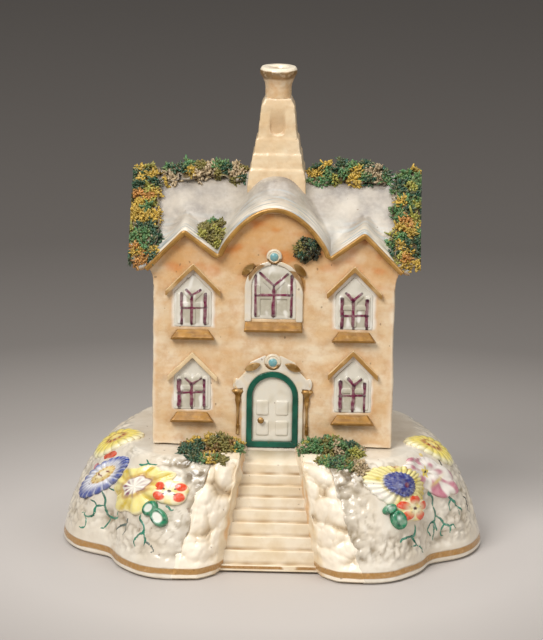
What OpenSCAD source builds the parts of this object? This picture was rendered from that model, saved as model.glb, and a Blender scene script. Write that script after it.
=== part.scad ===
// Porcelain pastille burner in the shape of a cottage on a flower-strewn mound.
// A scented pastille burns on a pan inside the house and its smoke leaves by the chimney.
// Millimetres, +Z up, front towards -Y, origin on the floor under the middle of the foot.

/* [Whole] */
// Height of the whole burner, from the floor to the chimney's mouth
total_h = 140.4; // [136:0.2:146]

/* [Mound] */
// Width of the foot across the side lobes
base_w = 123; // [118:1:130]
// Depth of the oval that the foot is drawn from
base_d = 84; // [82:1:92]
// Height of the plateau that carries the house
base_h = 33; // [31:0.5:36]
// Wall of the hollow mound
mound_t = 5; // [4:0.5:6]
// Height of the plain edge under the gilding
foot_edge = 1; // [0.6:0.1:1.6]
// Swell of the corner lobes past the oval
lobe_swell = 6; // [4:0.5:8]
// Depth of the side notches inside the oval
notch_depth = 3.5; // [2:0.5:4.5]

/* [Stairs] */
// Number of steps below the landing
steps = 8; // [6:1:9]
// Width of the stairs at the landing
stair_top_w = 17; // [15:0.5:19]
// Width of the stairs at the floor
stair_foot_w = 30.5; // [27:0.5:33]
// Depth of one tread
tread = 1.25; // [1.1:0.05:1.35]
// Depth of the landing in front of the door
landing_d = 4.5; // [3.5:0.25:5.5]
// Drop from the plateau to the front edge of the landing
landing_drop = 3.5; // [2.5:0.25:4.5]
// Thickness of the stair slab, front to back
stair_t = 6; // [5:0.5:7]
// Width of each rocky side wall at the plateau
parapet_top_w = 8; // [6.5:0.5:9]
// Width of each rocky side wall at the floor
parapet_foot_w = 12; // [10:0.5:13]
// How far the side walls stand proud of the mound
parapet_proud = 0.8; // [0.4:0.1:1.2]

/* [House] */
// Width of the house over its walls
house_w = 69.2; // [66:0.2:72]
// Depth of the house over its walls
house_d = 42; // [40:0.5:44]
// How far the ridge lies behind the middle of the foot
house_y = 3; // [2:0.25:4]
// Thickness of the house walls
wall_t = 4; // [3.5:0.25:4.5]
// Height of the plain wall below the flared cornice
wall_h = 46.2; // [45.6:0.2:47]
// Height of the flared cornice
flare_h = 6.8; // [5.6:0.2:7.2]
// How far the cornice flares out
flare_out = 2.7; // [1.5:0.1:3]
// Width of the arched draught opening in the back wall
draught_w = 16; // [12:0.5:20]
// Height of that opening to the top of its arch
draught_h = 20; // [16:0.5:24]

/* [Roof] */
// Vertical thickness of the roof shell
roof_t = 2; // [1.6:0.1:2.4]
// Height of the main slope over the wall foot, at the front wall
eave_h = 54.6; // [54:0.2:56]
// Rise of the ridge above that line
roof_rise = 22; // [20:0.5:24]
// Overhang at the front and the back
roof_over = 1.2; // [1:0.1:1.8]
// Overhang past the house walls at the sides
roof_side = 3.9; // [3.4:0.1:4.4]
// Half the width of the central arch
valley_x = 16; // [15:0.25:17]
// Height of the valleys beside the arch over the wall foot
valley_h = 57.4; // [56.8:0.2:58.4]
// Rise of the central arch above the valleys
arch_rise = 13.7; // [12:0.1:14.5]
// Distance of the side gables from the middle
gable_x = 25.7; // [24.5:0.1:26.5]
// Rise of the side gables above the valleys
gable_rise = 7.2; // [6:0.1:8]
// Fall of the outer side of a gable per unit of width
gable_fall = 1.02; // [0.95:0.01:1.05]
// Upward tilt of the wavy front roof towards the ridge
wave_tilt = 10; // [8:0.5:12]
// Height of the gilt moulding along the front edge
barge_h = 1.6; // [1.3:0.1:1.8]
// How far the gilt moulding stands out from the roof's edge
barge_proud = 0.8; // [0.5:0.1:1.2]

/* [Chimney] */
// Bore of the flue
flue_d = 4.6; // [4:0.1:5]
// Width of the lowest of the three stepped courses
course_w = 16.8; // [15.6:0.2:17.4]
// Depth of the lowest course
course_d = 15; // [14.6:0.2:15.6]
// How much each course draws in on the one below
course_in = 1.7; // [1.4:0.1:1.9]
// How much a course narrows from its foot to its top
course_lean = 1.1; // [0.8:0.1:1.2]
// Height of a course as a share of the chimney's rise above the ridge
course_share = 0.144; // [0.13:0.002:0.155]
// Width of the stack above the courses
stack_w = 11.3; // [10.6:0.1:11.6]
// Width at the top of the stack
stack_top_w = 9.6; // [9.2:0.1:10]
// Height of the stack as a share of that rise
stack_share = 0.307; // [0.28:0.005:0.33]
// Width of the round-ended niche as a share of the stack's height
niche_share = 0.468; // [0.4:0.01:0.51]
// Depth of that niche
niche_depth = 1.1; // [0.9:0.1:1.3]
// Width of the pot's neck
neck_w = 7.5; // [7:0.1:7.8]
// Width of the pot's rim
rim_w = 10.7; // [10:0.1:11.2]

/* [Door] */
// Width of the door over its enamelled frame
door_w = 14.7; // [13.6:0.1:15.2]
// Height to the top of the frame's arch
door_h = 22.4; // [21:0.2:23]
// Width of the frame
frame_w = 1.6; // [1.2:0.1:1.9]
// How far the frame stands out from the wall
frame_proud = 0.9; // [0.6:0.1:1.2]
// Width of the white band round the frame
surround_w = 1.2; // [0.9:0.1:1.3]
// Depth of the recess behind the door
door_recess = 1; // [0.8:0.1:1.3]
// Diameter of the door knob
knob_d = 1.9; // [1.5:0.1:2.2]
// Distance of the gilt columns from the middle
column_x = 9.9; // [9.8:0.05:10.3]
// Diameter of a column's shaft
column_d = 1.4; // [1.1:0.1:1.5]
// Height of a column
column_h = 13.5; // [12:0.25:14.5]
// Diameter of the rosettes over the door and the middle window
rosette_d = 4.8; // [4.2:0.1:5]

/* [Windows] */
// Distance of the side windows from the middle, as a share of the house's width
window_share = 0.3325; // [0.32:0.0025:0.345]
// Width of a side window
window_w = 10.4; // [9.6:0.2:10.8]
// Height of a side window to its point
window_h = 15; // [14.2:0.2:15]
// Height of the lower windows above the wall foot
lower_z = 10.8; // [10:0.2:11.4]
// Height of the upper windows above the wall foot
upper_z = 35.3; // [34.6:0.2:35.8]
// Width of the middle window
middle_w = 12.8; // [12:0.2:13.2]
// Height of the middle window to the top of its arch
middle_h = 15.9; // [15:0.1:16.1]
// Height of the middle window above the wall foot
middle_z = 37.9; // [37.4:0.1:38.2]
// Depth of the recess behind a window
window_recess = 0.8; // [0.6:0.1:1]
// Width of the white band round the middle window
window_band = 1.7; // [1.2:0.1:2]
// Point of the lower left hood above its window
hood_gap_left = 2; // [2:0.2:3]
// Point of the lower right hood above its window
hood_gap_right = 3.4; // [2.6:0.2:4]
// Points of the upper hoods above their windows
hood_gap_upper = 3.5; // [2.6:0.2:4]
// How far the hoods stand out from the wall
hood_proud = 1.4; // [1:0.1:1.8]
// Width of the moulding of a hood
hood_band = 1.5; // [1.2:0.1:1.8]
// How far the sills stand out from the wall
sill_proud = 2; // [1.6:0.1:2.4]
// Width of a glazing bar
bar_w = 0.9; // [0.7:0.05:1.1]

/* [Sprigs and moss] */
// Thickness of a petal
petal_t = 0.8; // [0.6:0.1:1.1]
// Radius of the large yellow blossoms
yellow_r = 8.6; // [7.6:0.2:9]
// Radius of the blue-tipped aster
blue_r = 9.2; // [8.2:0.2:9.6]
// Radius of the pink blossom
pink_r = 8.6; // [7.6:0.2:9.2]
// Radius of the orange five-petalled blossoms
orange_r = 4.6; // [4:0.1:4.8]
// Length of a leaf
leaf_len = 5.8; // [5:0.2:6]
// Width of the moss along the verges
verge_moss_w = 9.4; // [8:0.2:10]
// Width of the moss along the ridge, over both slopes
ridge_moss_w = 8; // [6.5:0.25:9]
// Thickness of the moss
moss_t = 2.6; // [2:0.1:3.2]

/* [Pastille] */
// Diameter of the pan
pan_d = 26; // [22:0.5:28]
// Height of the pan's rim
pan_h = 3; // [2.4:0.2:3.6]
// Diameter of the pastille at its foot
pastille_d = 13; // [11:0.5:14]
// Height of the pastille
pastille_h = 17; // [14:0.5:20]

/* [Hidden] */
$fn = 64;
// Gap left where one piece is laid on or beside another
slip = 0.2;
// Loose fit of the lifted house round its collar
collar_gap = 0.5;

// Places that the pieces share
seat_z = base_h + slip;
facade_y = house_y - house_d / 2;
back_y = house_y + house_d / 2;
roof_half = house_w / 2 + roof_side;
roof_front = facade_y - roof_over;
roof_back = back_y + roof_over;
ridge_z = seat_z + eave_h + roof_rise;
window_x = house_w * window_share;
slope = roof_rise / (house_d / 2);
reach = base_w;

// The chimney: courses, stack, shoulder and pot share out its rise above the ridge
course_count = 3;
chimney_h = total_h - seat_z;
chimney_rise = total_h - ridge_z;
course_h = chimney_rise * course_share;
stack_h = chimney_rise * stack_share;
niche_w = stack_h * niche_share;
shoulder_h = chimney_rise * 0.065;
course_sunk = chimney_rise * 0.0915;
courses_z = ridge_z - seat_z - course_sunk + course_count * course_h;
pot_h = chimney_h - courses_z - stack_h - shoulder_h - slip;
pot_rim_h = pot_h * 0.3;

// The foot: an oval with corner lobes, side notches and a straight edge under the stairs
lobe_at = 51;
lobe_width = 14;
notch_at = 26;
notch_width = 7;
stair_edge_from = 64;
stair_edge_to = stair_edge_from + 7;
// The plateau: a rounded rectangle round the house
plateau_half_x = house_w / 2 + 5.4;
plateau_half_y = back_y + 4.5;
plateau_power = 5;
// The side of the mound: a swelling curve from the foot to the plateau
swell_out = 0.91;
swell_up = 1.54;
mound_sides = 96;
mound_shares = [0, 0.1, 0.22, 0.34, 0.46, 0.58, 0.7, 0.81, 0.91, 1];
hollow_shares = [0, 0.35, 0.7, 1];
foot_round = 0.7;

// The stairs: nosings from the landing down to the foot
landing_y = facade_y - 1.5 - landing_d;
landing_z = base_h - landing_drop;
stair_foot_y = landing_y - steps * tread;
foot_step_h = 2.4;
rise_growth = 0.42;

// Small helpers
function mix(a, b, k) = a + (b - a) * k;
function clamp(x, low, high) = min(high, max(low, x));
function ease(x, from, to) = let (k = clamp((x - from) / (to - from), 0, 1)) k * k * (3 - 2 * k);
function bell(x, mid, width) = exp(-pow((x - mid) / width, 2));
function soft_min(a, b, w) = let (k = clamp(0.5 + 0.5 * (b - a) / w, 0, 1)) mix(b, a, k) - w * k * (1 - k);
function unit(v) = v / norm(v);
function sum(list, count) = count == 0 ? 0 : list[count - 1] + sum(list, count - 1);

// Radius of the foot at a compass angle from +X
function off_axis(a) = abs(asin(sin(a)));
function lobed_r(a) =
    1 / sqrt(pow(cos(a) / (base_w / 2), 2) + pow(sin(a) / (base_d / 2), 2))
    + lobe_swell * bell(off_axis(a), lobe_at, lobe_width)
    - notch_depth * bell(off_axis(a), notch_at, notch_width);
function stair_edge_share(a) = sin(a) < 0 ? ease(off_axis(a), stair_edge_from, stair_edge_to) : 0;
function foot_r(a) =
    let (share = stair_edge_share(a))
    share == 0 ? lobed_r(a) : mix(lobed_r(a), abs(stair_foot_y / sin(a)), share);
function plateau_r(a) =
    pow(pow(abs(cos(a)) / plateau_half_x, plateau_power) + pow(abs(sin(a)) / plateau_half_y, plateau_power),
        -1 / plateau_power);

// A point on the mound: compass angle, share of the way up and inset of a wall; past 1 lies on the plateau
function mound_point(a, up, inset = 0) =
    let (
        out = pow(max(0, cos(90 * min(up, 1))), swell_out),
        rise = pow(sin(90 * min(up, 1)), swell_up),
        r = mix(plateau_r(a), foot_r(a), out) * (up > 1 ? 2 - up : 1) - inset
    )
    [r * cos(a), r * sin(a), foot_edge + (base_h - foot_edge) * rise];
function mound_along(a, up) = (mound_point(a + 0.5, up) - mound_point(a - 0.5, up)) * 180 / PI;
function mound_upward(a, up) = let (u = max(up, 0.02)) (mound_point(a, u + 0.01) - mound_point(a, u - 0.01)) / 0.02;
function mound_normal(a, up) = unit(cross(mound_along(a, up), mound_upward(a, up)));
// A point laid on the mound: millimetres along and up the slope from a middle, and a height off it
function laid_point(mid, p, q, lift) =
    let (
        a = mid[0] + p / norm(mound_along(mid[0], mid[1])) * 180 / PI,
        up = mid[1] + q / norm(mound_upward(mid[0], mid[1]))
    )
    mound_point(a, up) + lift * mound_normal(a, up);

// Closed skin through rings of equal length, with a fan at both ends
function middle_of(ring) = [for (i = [0 : len(ring) - 1]) 1] * ring / len(ring);
module skin(rings) {
    count = len(rings[0]);
    top = len(rings) - 1;
    low_end = len(rings) * count;
    high_end = low_end + 1;
    polyhedron(
        points = [for (ring = rings) each ring, middle_of(rings[0]), middle_of(rings[top])],
        faces = [
            for (i = [0 : count - 1])
                let (j = (i + 1) % count)
                each [
                    [low_end, i, j],
                    [high_end, top * count + j, top * count + i],
                    for (k = [0 : top - 1])
                        let (low = k * count, high = low + count)
                        each [[low + i, high + i, high + j], [low + i, high + j, low + j]]
                ]
        ]);
}

// Closed sheet over a grid, between an underside and a top
module blanket(xs, ys, under, over) {
    nx = len(xs);
    ny = len(ys);
    top = nx * ny;
    polyhedron(
        points = [
            for (y = ys) for (x = xs) [x, y, under(x, y)],
            for (y = ys) for (x = xs) [x, y, over(x, y)]
        ],
        faces = [
            for (j = [0 : ny - 2]) for (i = [0 : nx - 2])
                let (a = j * nx + i, b = a + 1, c = a + nx, d = c + 1)
                each [[a, b, d], [a, d, c], [top + a, top + d, top + b], [top + a, top + c, top + d]],
            for (i = [0 : nx - 2])
                let (a = i, b = i + 1, c = (ny - 1) * nx + i, d = c + 1)
                each [[a, top + a, top + b], [a, top + b, b], [d, top + d, top + c], [d, top + c, c]],
            for (j = [0 : ny - 2])
                let (a = j * nx, c = a + nx, b = a + nx - 1, d = c + nx - 1)
                each [[c, top + c, top + a], [c, top + a, a], [b, top + b, top + d], [b, top + d, d]]
        ]);
}

// Relief laid on the mound: rim gives its outline by angle, height its thickness by share and angle
module relief(mid, rim, height, spokes = 32, rings = 4) {
    disc = spokes * rings + 1;
    shares = [for (j = [1 : rings]) j / rings];
    turn = 360 / spokes;
    polyhedron(
        points = [
            for (side = [0, 1]) each [
                laid_point(mid, 0, 0, slip + side * height(0, 0)),
                for (k = shares) for (i = [0 : spokes - 1])
                    let (w = i * turn, r = rim(w) * k)
                    laid_point(mid, r * cos(w), r * sin(w), slip + side * height(k, w))
            ]
        ],
        faces = [
            for (i = [0 : spokes - 1])
                let (n = (i + 1) % spokes, a = 1 + i, b = 1 + n, rim_a = disc - spokes + i, rim_b = disc - spokes + n)
                each [
                    [0, a, b], [disc, disc + b, disc + a],
                    [rim_a, disc + rim_a, disc + rim_b], [rim_a, disc + rim_b, rim_b]
                ],
            for (k = [0 : rings - 2]) for (i = [0 : spokes - 1])
                let (n = (i + 1) % spokes, a = 1 + k * spokes + i, b = 1 + k * spokes + n, c = a + spokes, d = b + spokes)
                each [[a, c, d], [a, d, b], [disc + a, disc + d, disc + c], [disc + a, disc + b, disc + d]]
        ]);
}

// The mound's outer and inner rings
function mound_ring(up) = [
    for (i = [0 : mound_sides - 1])
        mound_point(i * 360 / mound_sides, up)
];
function foot_ring(inset) = [
    for (i = [0 : mound_sides - 1])
        let (a = i * 360 / mound_sides, p = mound_point(a, 0, inset))
        [p[0], p[1], 0]
];
function hollow_ring(up) = [
    for (i = [0 : mound_sides - 1])
        let (p = mound_point(i * 360 / mound_sides, up, mound_t))
        [p[0], p[1], max(0.01, p[2] * (base_h - mound_t) / base_h)]
];

// Slot for the stairs and their side walls, its sides leaning like theirs
module stair_slot(top_half, foot_half, from_y, to_y) {
    translate([0, to_y, 0])
        rotate([90, 0, 0])
            linear_extrude(to_y - from_y)
                polygon([
                    [-lean_half(top_half, foot_half, -1), -1],
                    [lean_half(top_half, foot_half, -1), -1],
                    [lean_half(top_half, foot_half, base_h + 2), base_h + 2],
                    [-lean_half(top_half, foot_half, base_h + 2), base_h + 2]
                ]);
}
function lean_half(top_half, foot_half, z) = mix(foot_half, top_half, z / base_h);
slot_back_y = facade_y - 1.5;
slot_top_half = stair_top_w / 2 + slip + parapet_top_w;
slot_foot_half = stair_foot_w / 2 + slip + parapet_foot_w;

module base_mound() {
    color("whitesmoke")
        difference() {
            skin([
                for (k = [len(hollow_shares) - 1 : -1 : 0]) hollow_ring(hollow_shares[k]),
                foot_ring(mound_t),
                foot_ring(foot_round),
                for (up = mound_shares) mound_ring(up)
            ]);
            stair_slot(slot_top_half + slip, slot_foot_half + slip, -reach, slot_back_y + slip);
        }
}

// Low collar on the plateau that keeps the house in its place, open at the back for the draught
collar_h = 2.6;
collar_t = 2;
module seat_collar() {
    outer_x = house_w / 2 - wall_t - collar_gap;
    outer_y = house_d / 2 - wall_t - collar_gap;
    color("ivory")
        translate([0, house_y, seat_z])
            difference() {
                translate([-outer_x, -outer_y, 0])
                    cube([2 * outer_x, 2 * outer_y, collar_h]);
                translate([collar_t - outer_x, collar_t - outer_y, -1])
                    cube([2 * (outer_x - collar_t), 2 * (outer_y - collar_t), collar_h + 2]);
                translate([-draught_w / 2, 0, -1])
                    cube([draught_w, outer_y + 1, collar_h + 2]);
            }
}

// Steps with risers that grow towards the foot
rise_weights = [for (k = [0 : steps - 1]) 1 + rise_growth * k / (steps - 1)];
function nosing_y(k) = landing_y - k * tread;
function nosing_z(k) =
    mix(landing_z, foot_step_h, sum(rise_weights, k) / sum(rise_weights, steps));
module stair_flight() {
    door_step = 0.6;
    color("antiquewhite")
        intersection() {
            rotate([90, 0, 90])
                linear_extrude(reach, center = true)
                    polygon([
                        [slot_back_y, base_h - door_step],
                        for (k = [0 : steps - 1])
                            each [[nosing_y(k), nosing_z(k)], [nosing_y(k), nosing_z(k + 1)]],
                        [nosing_y(steps), nosing_z(steps)],
                        [nosing_y(steps), 0],
                        [nosing_y(steps) + stair_t, 0],
                        [slot_back_y, landing_z - stair_t]
                    ]);
            stair_slot(stair_top_w / 2, stair_foot_w / 2, -reach, slot_back_y);
        }
}

// Rocky walls beside the stairs: the mound's own side carried a little further out, between leaning flanks
parapet_shares = [0, 0.12, 0.26, 0.4, 0.54, 0.68, 0.82, 0.94];
parapet_parts = 6;
function angle_at_x(x, up, low = 270, high = 345, tries = 14) =
    let (mid = (low + high) / 2)
    tries == 0 ? mid
    : mound_point(mid, up)[0] < x ? angle_at_x(x, up, mid, high, tries - 1)
    : angle_at_x(x, up, low, mid, tries - 1);
function stair_back_y(z) = mix(stair_foot_y + stair_t, slot_back_y, clamp(z / (landing_z - stair_t), 0, 1));
function parapet_ring(up, z, proud) =
    let (
        inner = lean_half(stair_top_w / 2 + slip, stair_foot_w / 2 + slip, z),
        outer = lean_half(slot_top_half, slot_foot_half, z),
        xs = [for (i = [0 : parapet_parts]) mix(inner, outer, i / parapet_parts)]
    )
    [
        for (x = xs) [x, mound_point(angle_at_x(x, up), up)[1] - proud, z],
        for (i = [parapet_parts : -1 : 0]) [xs[i], stair_back_y(z), z]
    ];
module stair_wall() {
    color("linen")
        skin([
            parapet_ring(0, 0, -foot_round),
            for (up = parapet_shares)
                parapet_ring(up, mound_point(270, up)[2], parapet_proud * ease(up, 0, parapet_shares[2])),
            parapet_ring(1, base_h + parapet_proud / 2, parapet_proud / 2),
            parapet_ring(1, base_h + parapet_proud, 0)
        ]);
}

// Height of the wavy front edge over the wall foot: an arch between two rounded gables
arch_fullness = 0.75;
gable_round = 2;
function arch_edge(x) = valley_h + arch_rise * pow(max(0, cos(90 * x / valley_x)), arch_fullness);
function gable_edge(x) = soft_min(
    mix(valley_h, valley_h + gable_rise, (x - valley_x) / (gable_x - valley_x)),
    valley_h + gable_rise - gable_fall * (x - gable_x),
    gable_round);
function wave_edge(x) = abs(x) < valley_x ? arch_edge(abs(x)) : gable_edge(abs(x));
arch_parts = 20;
gable_parts = 12;
wave_xs = [
    for (i = [0 : gable_parts - 1]) mix(-roof_half, -valley_x, i / gable_parts),
    for (i = [0 : arch_parts]) mix(-valley_x, valley_x, i / arch_parts),
    for (i = [1 : gable_parts]) mix(valley_x, roof_half, i / gable_parts)
];
// Height of the roof's top over the floor, at any place in plan
function slope_z(y) = ridge_z - slope * abs(y - house_y);
function wave_z(x, y) = seat_z + wave_edge(x) + tan(wave_tilt) * (y - facade_y);
function roof_z(x, y) = y > house_y ? slope_z(y) : max(slope_z(y), wave_z(x, y));

// Everything under the roof's top, lowered by a drop
module under_roof(drop) {
    far = house_d / 2 + 4 * roof_over;
    rotate([90, 0, 90])
        linear_extrude(2 * roof_half + 4, center = true)
            polygon([
                [house_y - far, ridge_z - slope * far - drop],
                [house_y, ridge_z - drop],
                [house_y + far, ridge_z - slope * far - drop],
                [house_y + far, 0],
                [house_y - far, 0]
            ]);
    // The tilted front wave, drawn from the valleys' level at the wall
    translate([0, facade_y, seat_z + valley_h - drop])
        rotate([90 + wave_tilt, 0, 0])
            translate([0, 0, -house_d / 2])
                linear_extrude(house_d)
                    polygon([
                        for (x = wave_xs) [x, (wave_edge(x) - valley_h) * cos(wave_tilt)],
                        [roof_half, -valley_h / 2],
                        [-roof_half, -valley_h / 2]
                    ]);
}

// Outline of the house seen from the front, with its cornice flaring to the roof
flare_parts = 6;
module house_outline(tall) {
    flare = [
        for (i = [0 : flare_parts])
            [house_w / 2 + flare_out * (1 - cos(90 * i / flare_parts)), wall_h + flare_h * sin(90 * i / flare_parts)]
    ];
    polygon([
        [-house_w / 2, 0],
        [house_w / 2, 0],
        each flare,
        [house_w / 2 + flare_out, tall],
        [-house_w / 2 - flare_out, tall],
        for (i = [flare_parts : -1 : 0]) [-flare[i][0], flare[i][1]]
    ]);
}

// Draws on the front wall: x from the middle, y above the wall foot, thickness outwards
module on_facade(x, h) {
    translate([x, facade_y, seat_z + h])
        rotate([90, 0, 0])
            children();
}

// Upright outline with a round head
module arched(w, h) {
    translate([-w / 2, 0])
        square([w, h - w / 2]);
    translate([0, h - w / 2])
        circle(d = w);
}

// Upright outline with a pointed head
shoulder_share = 0.66;
module pointed(w, h) {
    polygon([[-w / 2, 0], [w / 2, 0], [w / 2, h * shoulder_share], [0, h], [-w / 2, h * shoulder_share]]);
}

module house_walls() {
    tall = eave_h + roof_rise + arch_rise;
    color("navajowhite")
        intersection() {
            difference() {
                translate([0, back_y, seat_z])
                    rotate([90, 0, 0])
                        linear_extrude(house_d)
                            house_outline(tall);
                translate([wall_t - house_w / 2, facade_y + wall_t, 0])
                    cube([house_w - 2 * wall_t, house_d - 2 * wall_t, seat_z + tall + 1]);
                translate([0, back_y + 1, seat_z])
                    rotate([90, 0, 0])
                        linear_extrude(wall_t + 2)
                            arched(draught_w, draught_h);
                translate([-draught_w / 2, back_y - wall_t - 1, seat_z - 1])
                    cube([draught_w, wall_t + 2, 2]);
                on_facade(0, frame_w)
                    translate([0, 0, -door_recess])
                        linear_extrude(door_recess + 1)
                            arched(door_w - 2 * frame_w, door_h - 2 * frame_w);
                for (side = [-1, 1], h = [lower_z, upper_z])
                    on_facade(side * window_x, h)
                        translate([0, 0, -window_recess])
                            linear_extrude(window_recess + 1)
                                pointed(window_w, window_h);
                on_facade(0, middle_z)
                    translate([0, 0, -window_recess])
                        linear_extrude(window_recess + 1)
                            arched(middle_w, middle_h);
            }
            under_roof(roof_t + slip);
        }
}

module roof() {
    color("gainsboro")
        difference() {
            intersection() {
                under_roof(0);
                translate([-roof_half, roof_front, 0])
                    cube([2 * roof_half, roof_back - roof_front, ridge_z + arch_rise]);
            }
            under_roof(roof_t);
            translate([0, house_y, seat_z])
                cylinder(d = flue_d, h = chimney_h);
        }
}

// Gilt moulding that follows the wave on the face of the roof's front edge
module bargeboard() {
    reach_x = house_w / 2 + flare_out;
    color("darkgoldenrod")
        difference() {
            intersection() {
                translate([-reach_x, roof_front - slip - barge_proud, seat_z + wall_h])
                    cube([2 * reach_x, barge_proud, valley_h]);
                under_roof(slip);
            }
            under_roof(slip + barge_h);
        }
}

// Stepped courses and a tapering stack with a niche on the front, cut to sit on the roof
function tapered_side(w, top_w, h, foot) = [
    if (foot > 0) each [[-w / 2, -foot], [w / 2, -foot]],
    [w / 2, 0],
    [top_w / 2, h],
    [-top_w / 2, h],
    [-w / 2, 0]
];
module tapered_block(w, top_w, d, top_d, h, foot = 0) {
    intersection() {
        rotate([90, 0, 0])
            linear_extrude(2 * d, center = true)
                polygon(tapered_side(w, top_w, h, foot));
        rotate([90, 0, 90])
            linear_extrude(2 * w, center = true)
                polygon(tapered_side(d, top_d, h, foot));
    }
}
stack_squash = 0.9;
module chimney_stack() {
    // The lowest course goes straight down to the roof below its foot
    drop = course_d / 2 * slope;
    color("bisque")
        difference() {
            translate([0, house_y, seat_z + courses_z]) {
                for (k = [0 : course_count - 1]) {
                    w = course_w - k * course_in;
                    d = course_d - k * course_in;
                    translate([0, 0, (k - course_count) * course_h])
                        tapered_block(w, w - course_lean, d, d - course_lean, course_h, k == 0 ? drop : 0);
                }
                tapered_block(stack_w, stack_top_w, stack_w * stack_squash, stack_top_w * stack_squash, stack_h);
                translate([0, 0, stack_h])
                    tapered_block(stack_top_w, neck_w, stack_top_w * stack_squash, neck_w, shoulder_h);
            }
            under_roof(-slip);
            translate([0, house_y, seat_z])
                cylinder(d = flue_d, h = chimney_h + 1);
            // Niche, with its round foot downwards
            translate([0, house_y - stack_w * stack_squash / 2 + niche_depth, seat_z + courses_z + stack_h])
                rotate([90, 180, 0])
                    linear_extrude(stack_w)
                        arched(niche_w, stack_h - 1);
        }
}

// Flared round pot with a rolled rim
module chimney_pot() {
    color("bisque")
        translate([0, house_y, seat_z + chimney_h - pot_h])
            rotate_extrude()
                polygon([
                    [flue_d / 2, 0],
                    [neck_w / 2, 0],
                    [neck_w / 2, pot_h * 0.32],
                    [neck_w / 2 + 0.2, pot_h * 0.45],
                    [neck_w / 2 + 0.6, pot_h * 0.57],
                    [rim_w / 2 - 0.4, pot_h - pot_rim_h],
                    [rim_w / 2, pot_h - pot_rim_h * 0.7],
                    [rim_w / 2, pot_h - pot_rim_h * 0.3],
                    [rim_w / 2 - 0.5, pot_h],
                    [flue_d / 2 + 0.6, pot_h],
                    [flue_d / 2, pot_h - 1]
                ]);
}

// Door with four raised panels, set in its recess
module door_panel() {
    leaf_w = door_w - 2 * frame_w - 2 * slip;
    leaf_h = door_h - 2 * frame_w - 2 * slip;
    panel_w = leaf_w * 0.27;
    panel_h = leaf_h * 0.2;
    color("oldlace")
        on_facade(0, frame_w + slip)
            difference() {
                union() {
                    translate([0, 0, -door_recess])
                        linear_extrude(door_recess)
                            arched(leaf_w, leaf_h);
                    for (side = [-1, 1], row = [0.1, 0.42])
                        translate([side * leaf_w * 0.25 - panel_w / 2, leaf_h * row, -door_recess / 2])
                            cube([panel_w, panel_h, door_recess / 2 + 0.4]);
                }
                translate([knob_x(), knob_h(), -door_recess - 1])
                    cylinder(d = knob_d * 0.5, h = door_recess + 3);
            }
}
function knob_x() = -door_w * 0.22;
function knob_h() = door_h * 0.28;

// Knob with a shank in the door
module door_knob() {
    shank = knob_d * 0.5 - 2 * slip / 2;
    color("goldenrod")
        on_facade(knob_x(), frame_w + slip + knob_h())
            rotate_extrude()
                polygon([
                    [0, -door_recess / 2],
                    [shank / 2, -door_recess / 2],
                    [shank / 2, 0.5],
                    for (w = [-60 : 20 : 80]) [knob_d / 2 * cos(w), 0.5 + knob_d * 0.35 * (1 + sin(w))],
                    [0, 0.5 + knob_d * 0.7]
                ]);
}

// Enamelled frame, closed under the door
module door_frame() {
    color("darkgreen")
        on_facade(0, 0)
            linear_extrude(frame_proud)
                difference() {
                    arched(door_w, door_h);
                    translate([0, frame_w])
                        arched(door_w - 2 * frame_w, door_h - 2 * frame_w);
                }
}

rosette_h = door_h + 2.9;
surround_proud = frame_proud * 0.6;
volute_r = 1.5;
module door_surround() {
    volute_x = column_x + 0.9;
    volute_h = column_foot + column_h + slip + volute_r;
    color("white")
        on_facade(0, 0)
            linear_extrude(surround_proud)
                difference() {
                    union() {
                        arched(door_w + 2 * surround_w, door_h + surround_w);
                        for (side = [-1, 1]) {
                            translate([side * volute_x, volute_h])
                                circle(r = volute_r);
                            polygon([
                                [0, door_h - 4],
                                [side * volute_x, volute_h - volute_r],
                                [side * volute_x, volute_h],
                                [side * door_w * 0.5, door_h],
                                [side * door_w * 0.42, door_h + 2.6],
                                [side * rosette_d * 0.5, rosette_h + 1.6],
                                [0, rosette_h + 1.6]
                            ]);
                        }
                    }
                    arched(door_w + 2 * slip, door_h + slip);
                    translate([0, rosette_h])
                        circle(d = rosette_d + 2 * slip);
                }
}

// Half-round column with a turned foot and capital
column_foot = 3.6;
module door_column(side) {
    shaft_r = column_d / 2;
    color("goldenrod")
        intersection() {
            translate([side * column_x, facade_y, seat_z + column_foot])
                rotate_extrude()
                    polygon([
                        [0, 0],
                        [shaft_r * 0.8, 0],
                        [shaft_r * 0.9, column_h * 0.2],
                        [shaft_r * 0.65, column_h * 0.24],
                        [shaft_r * 0.7, column_h * 0.58],
                        [shaft_r * 1.3, column_h * 0.76],
                        [shaft_r * 0.95, column_h * 0.85],
                        [shaft_r * 1.15, column_h * 0.89],
                        [shaft_r * 1.7, column_h * 0.95],
                        [shaft_r * 1.3, column_h],
                        [0, column_h]
                    ]);
            translate([-reach, facade_y - reach, 0])
                cube([2 * reach, reach, 2 * reach]);
        }
}

// Turned rosette with a raised boss
module rosette(h, d) {
    r = d / 2;
    color("turquoise")
        on_facade(0, h)
            rotate_extrude()
                polygon([
                    [0, 0],
                    [r, 0],
                    [r, 0.5],
                    [r * 0.8, 0.9],
                    [r * 0.62, 0.6],
                    [r * 0.5, 1],
                    [r * 0.25, 1.3],
                    [0, 1.4]
                ]);
}

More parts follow.
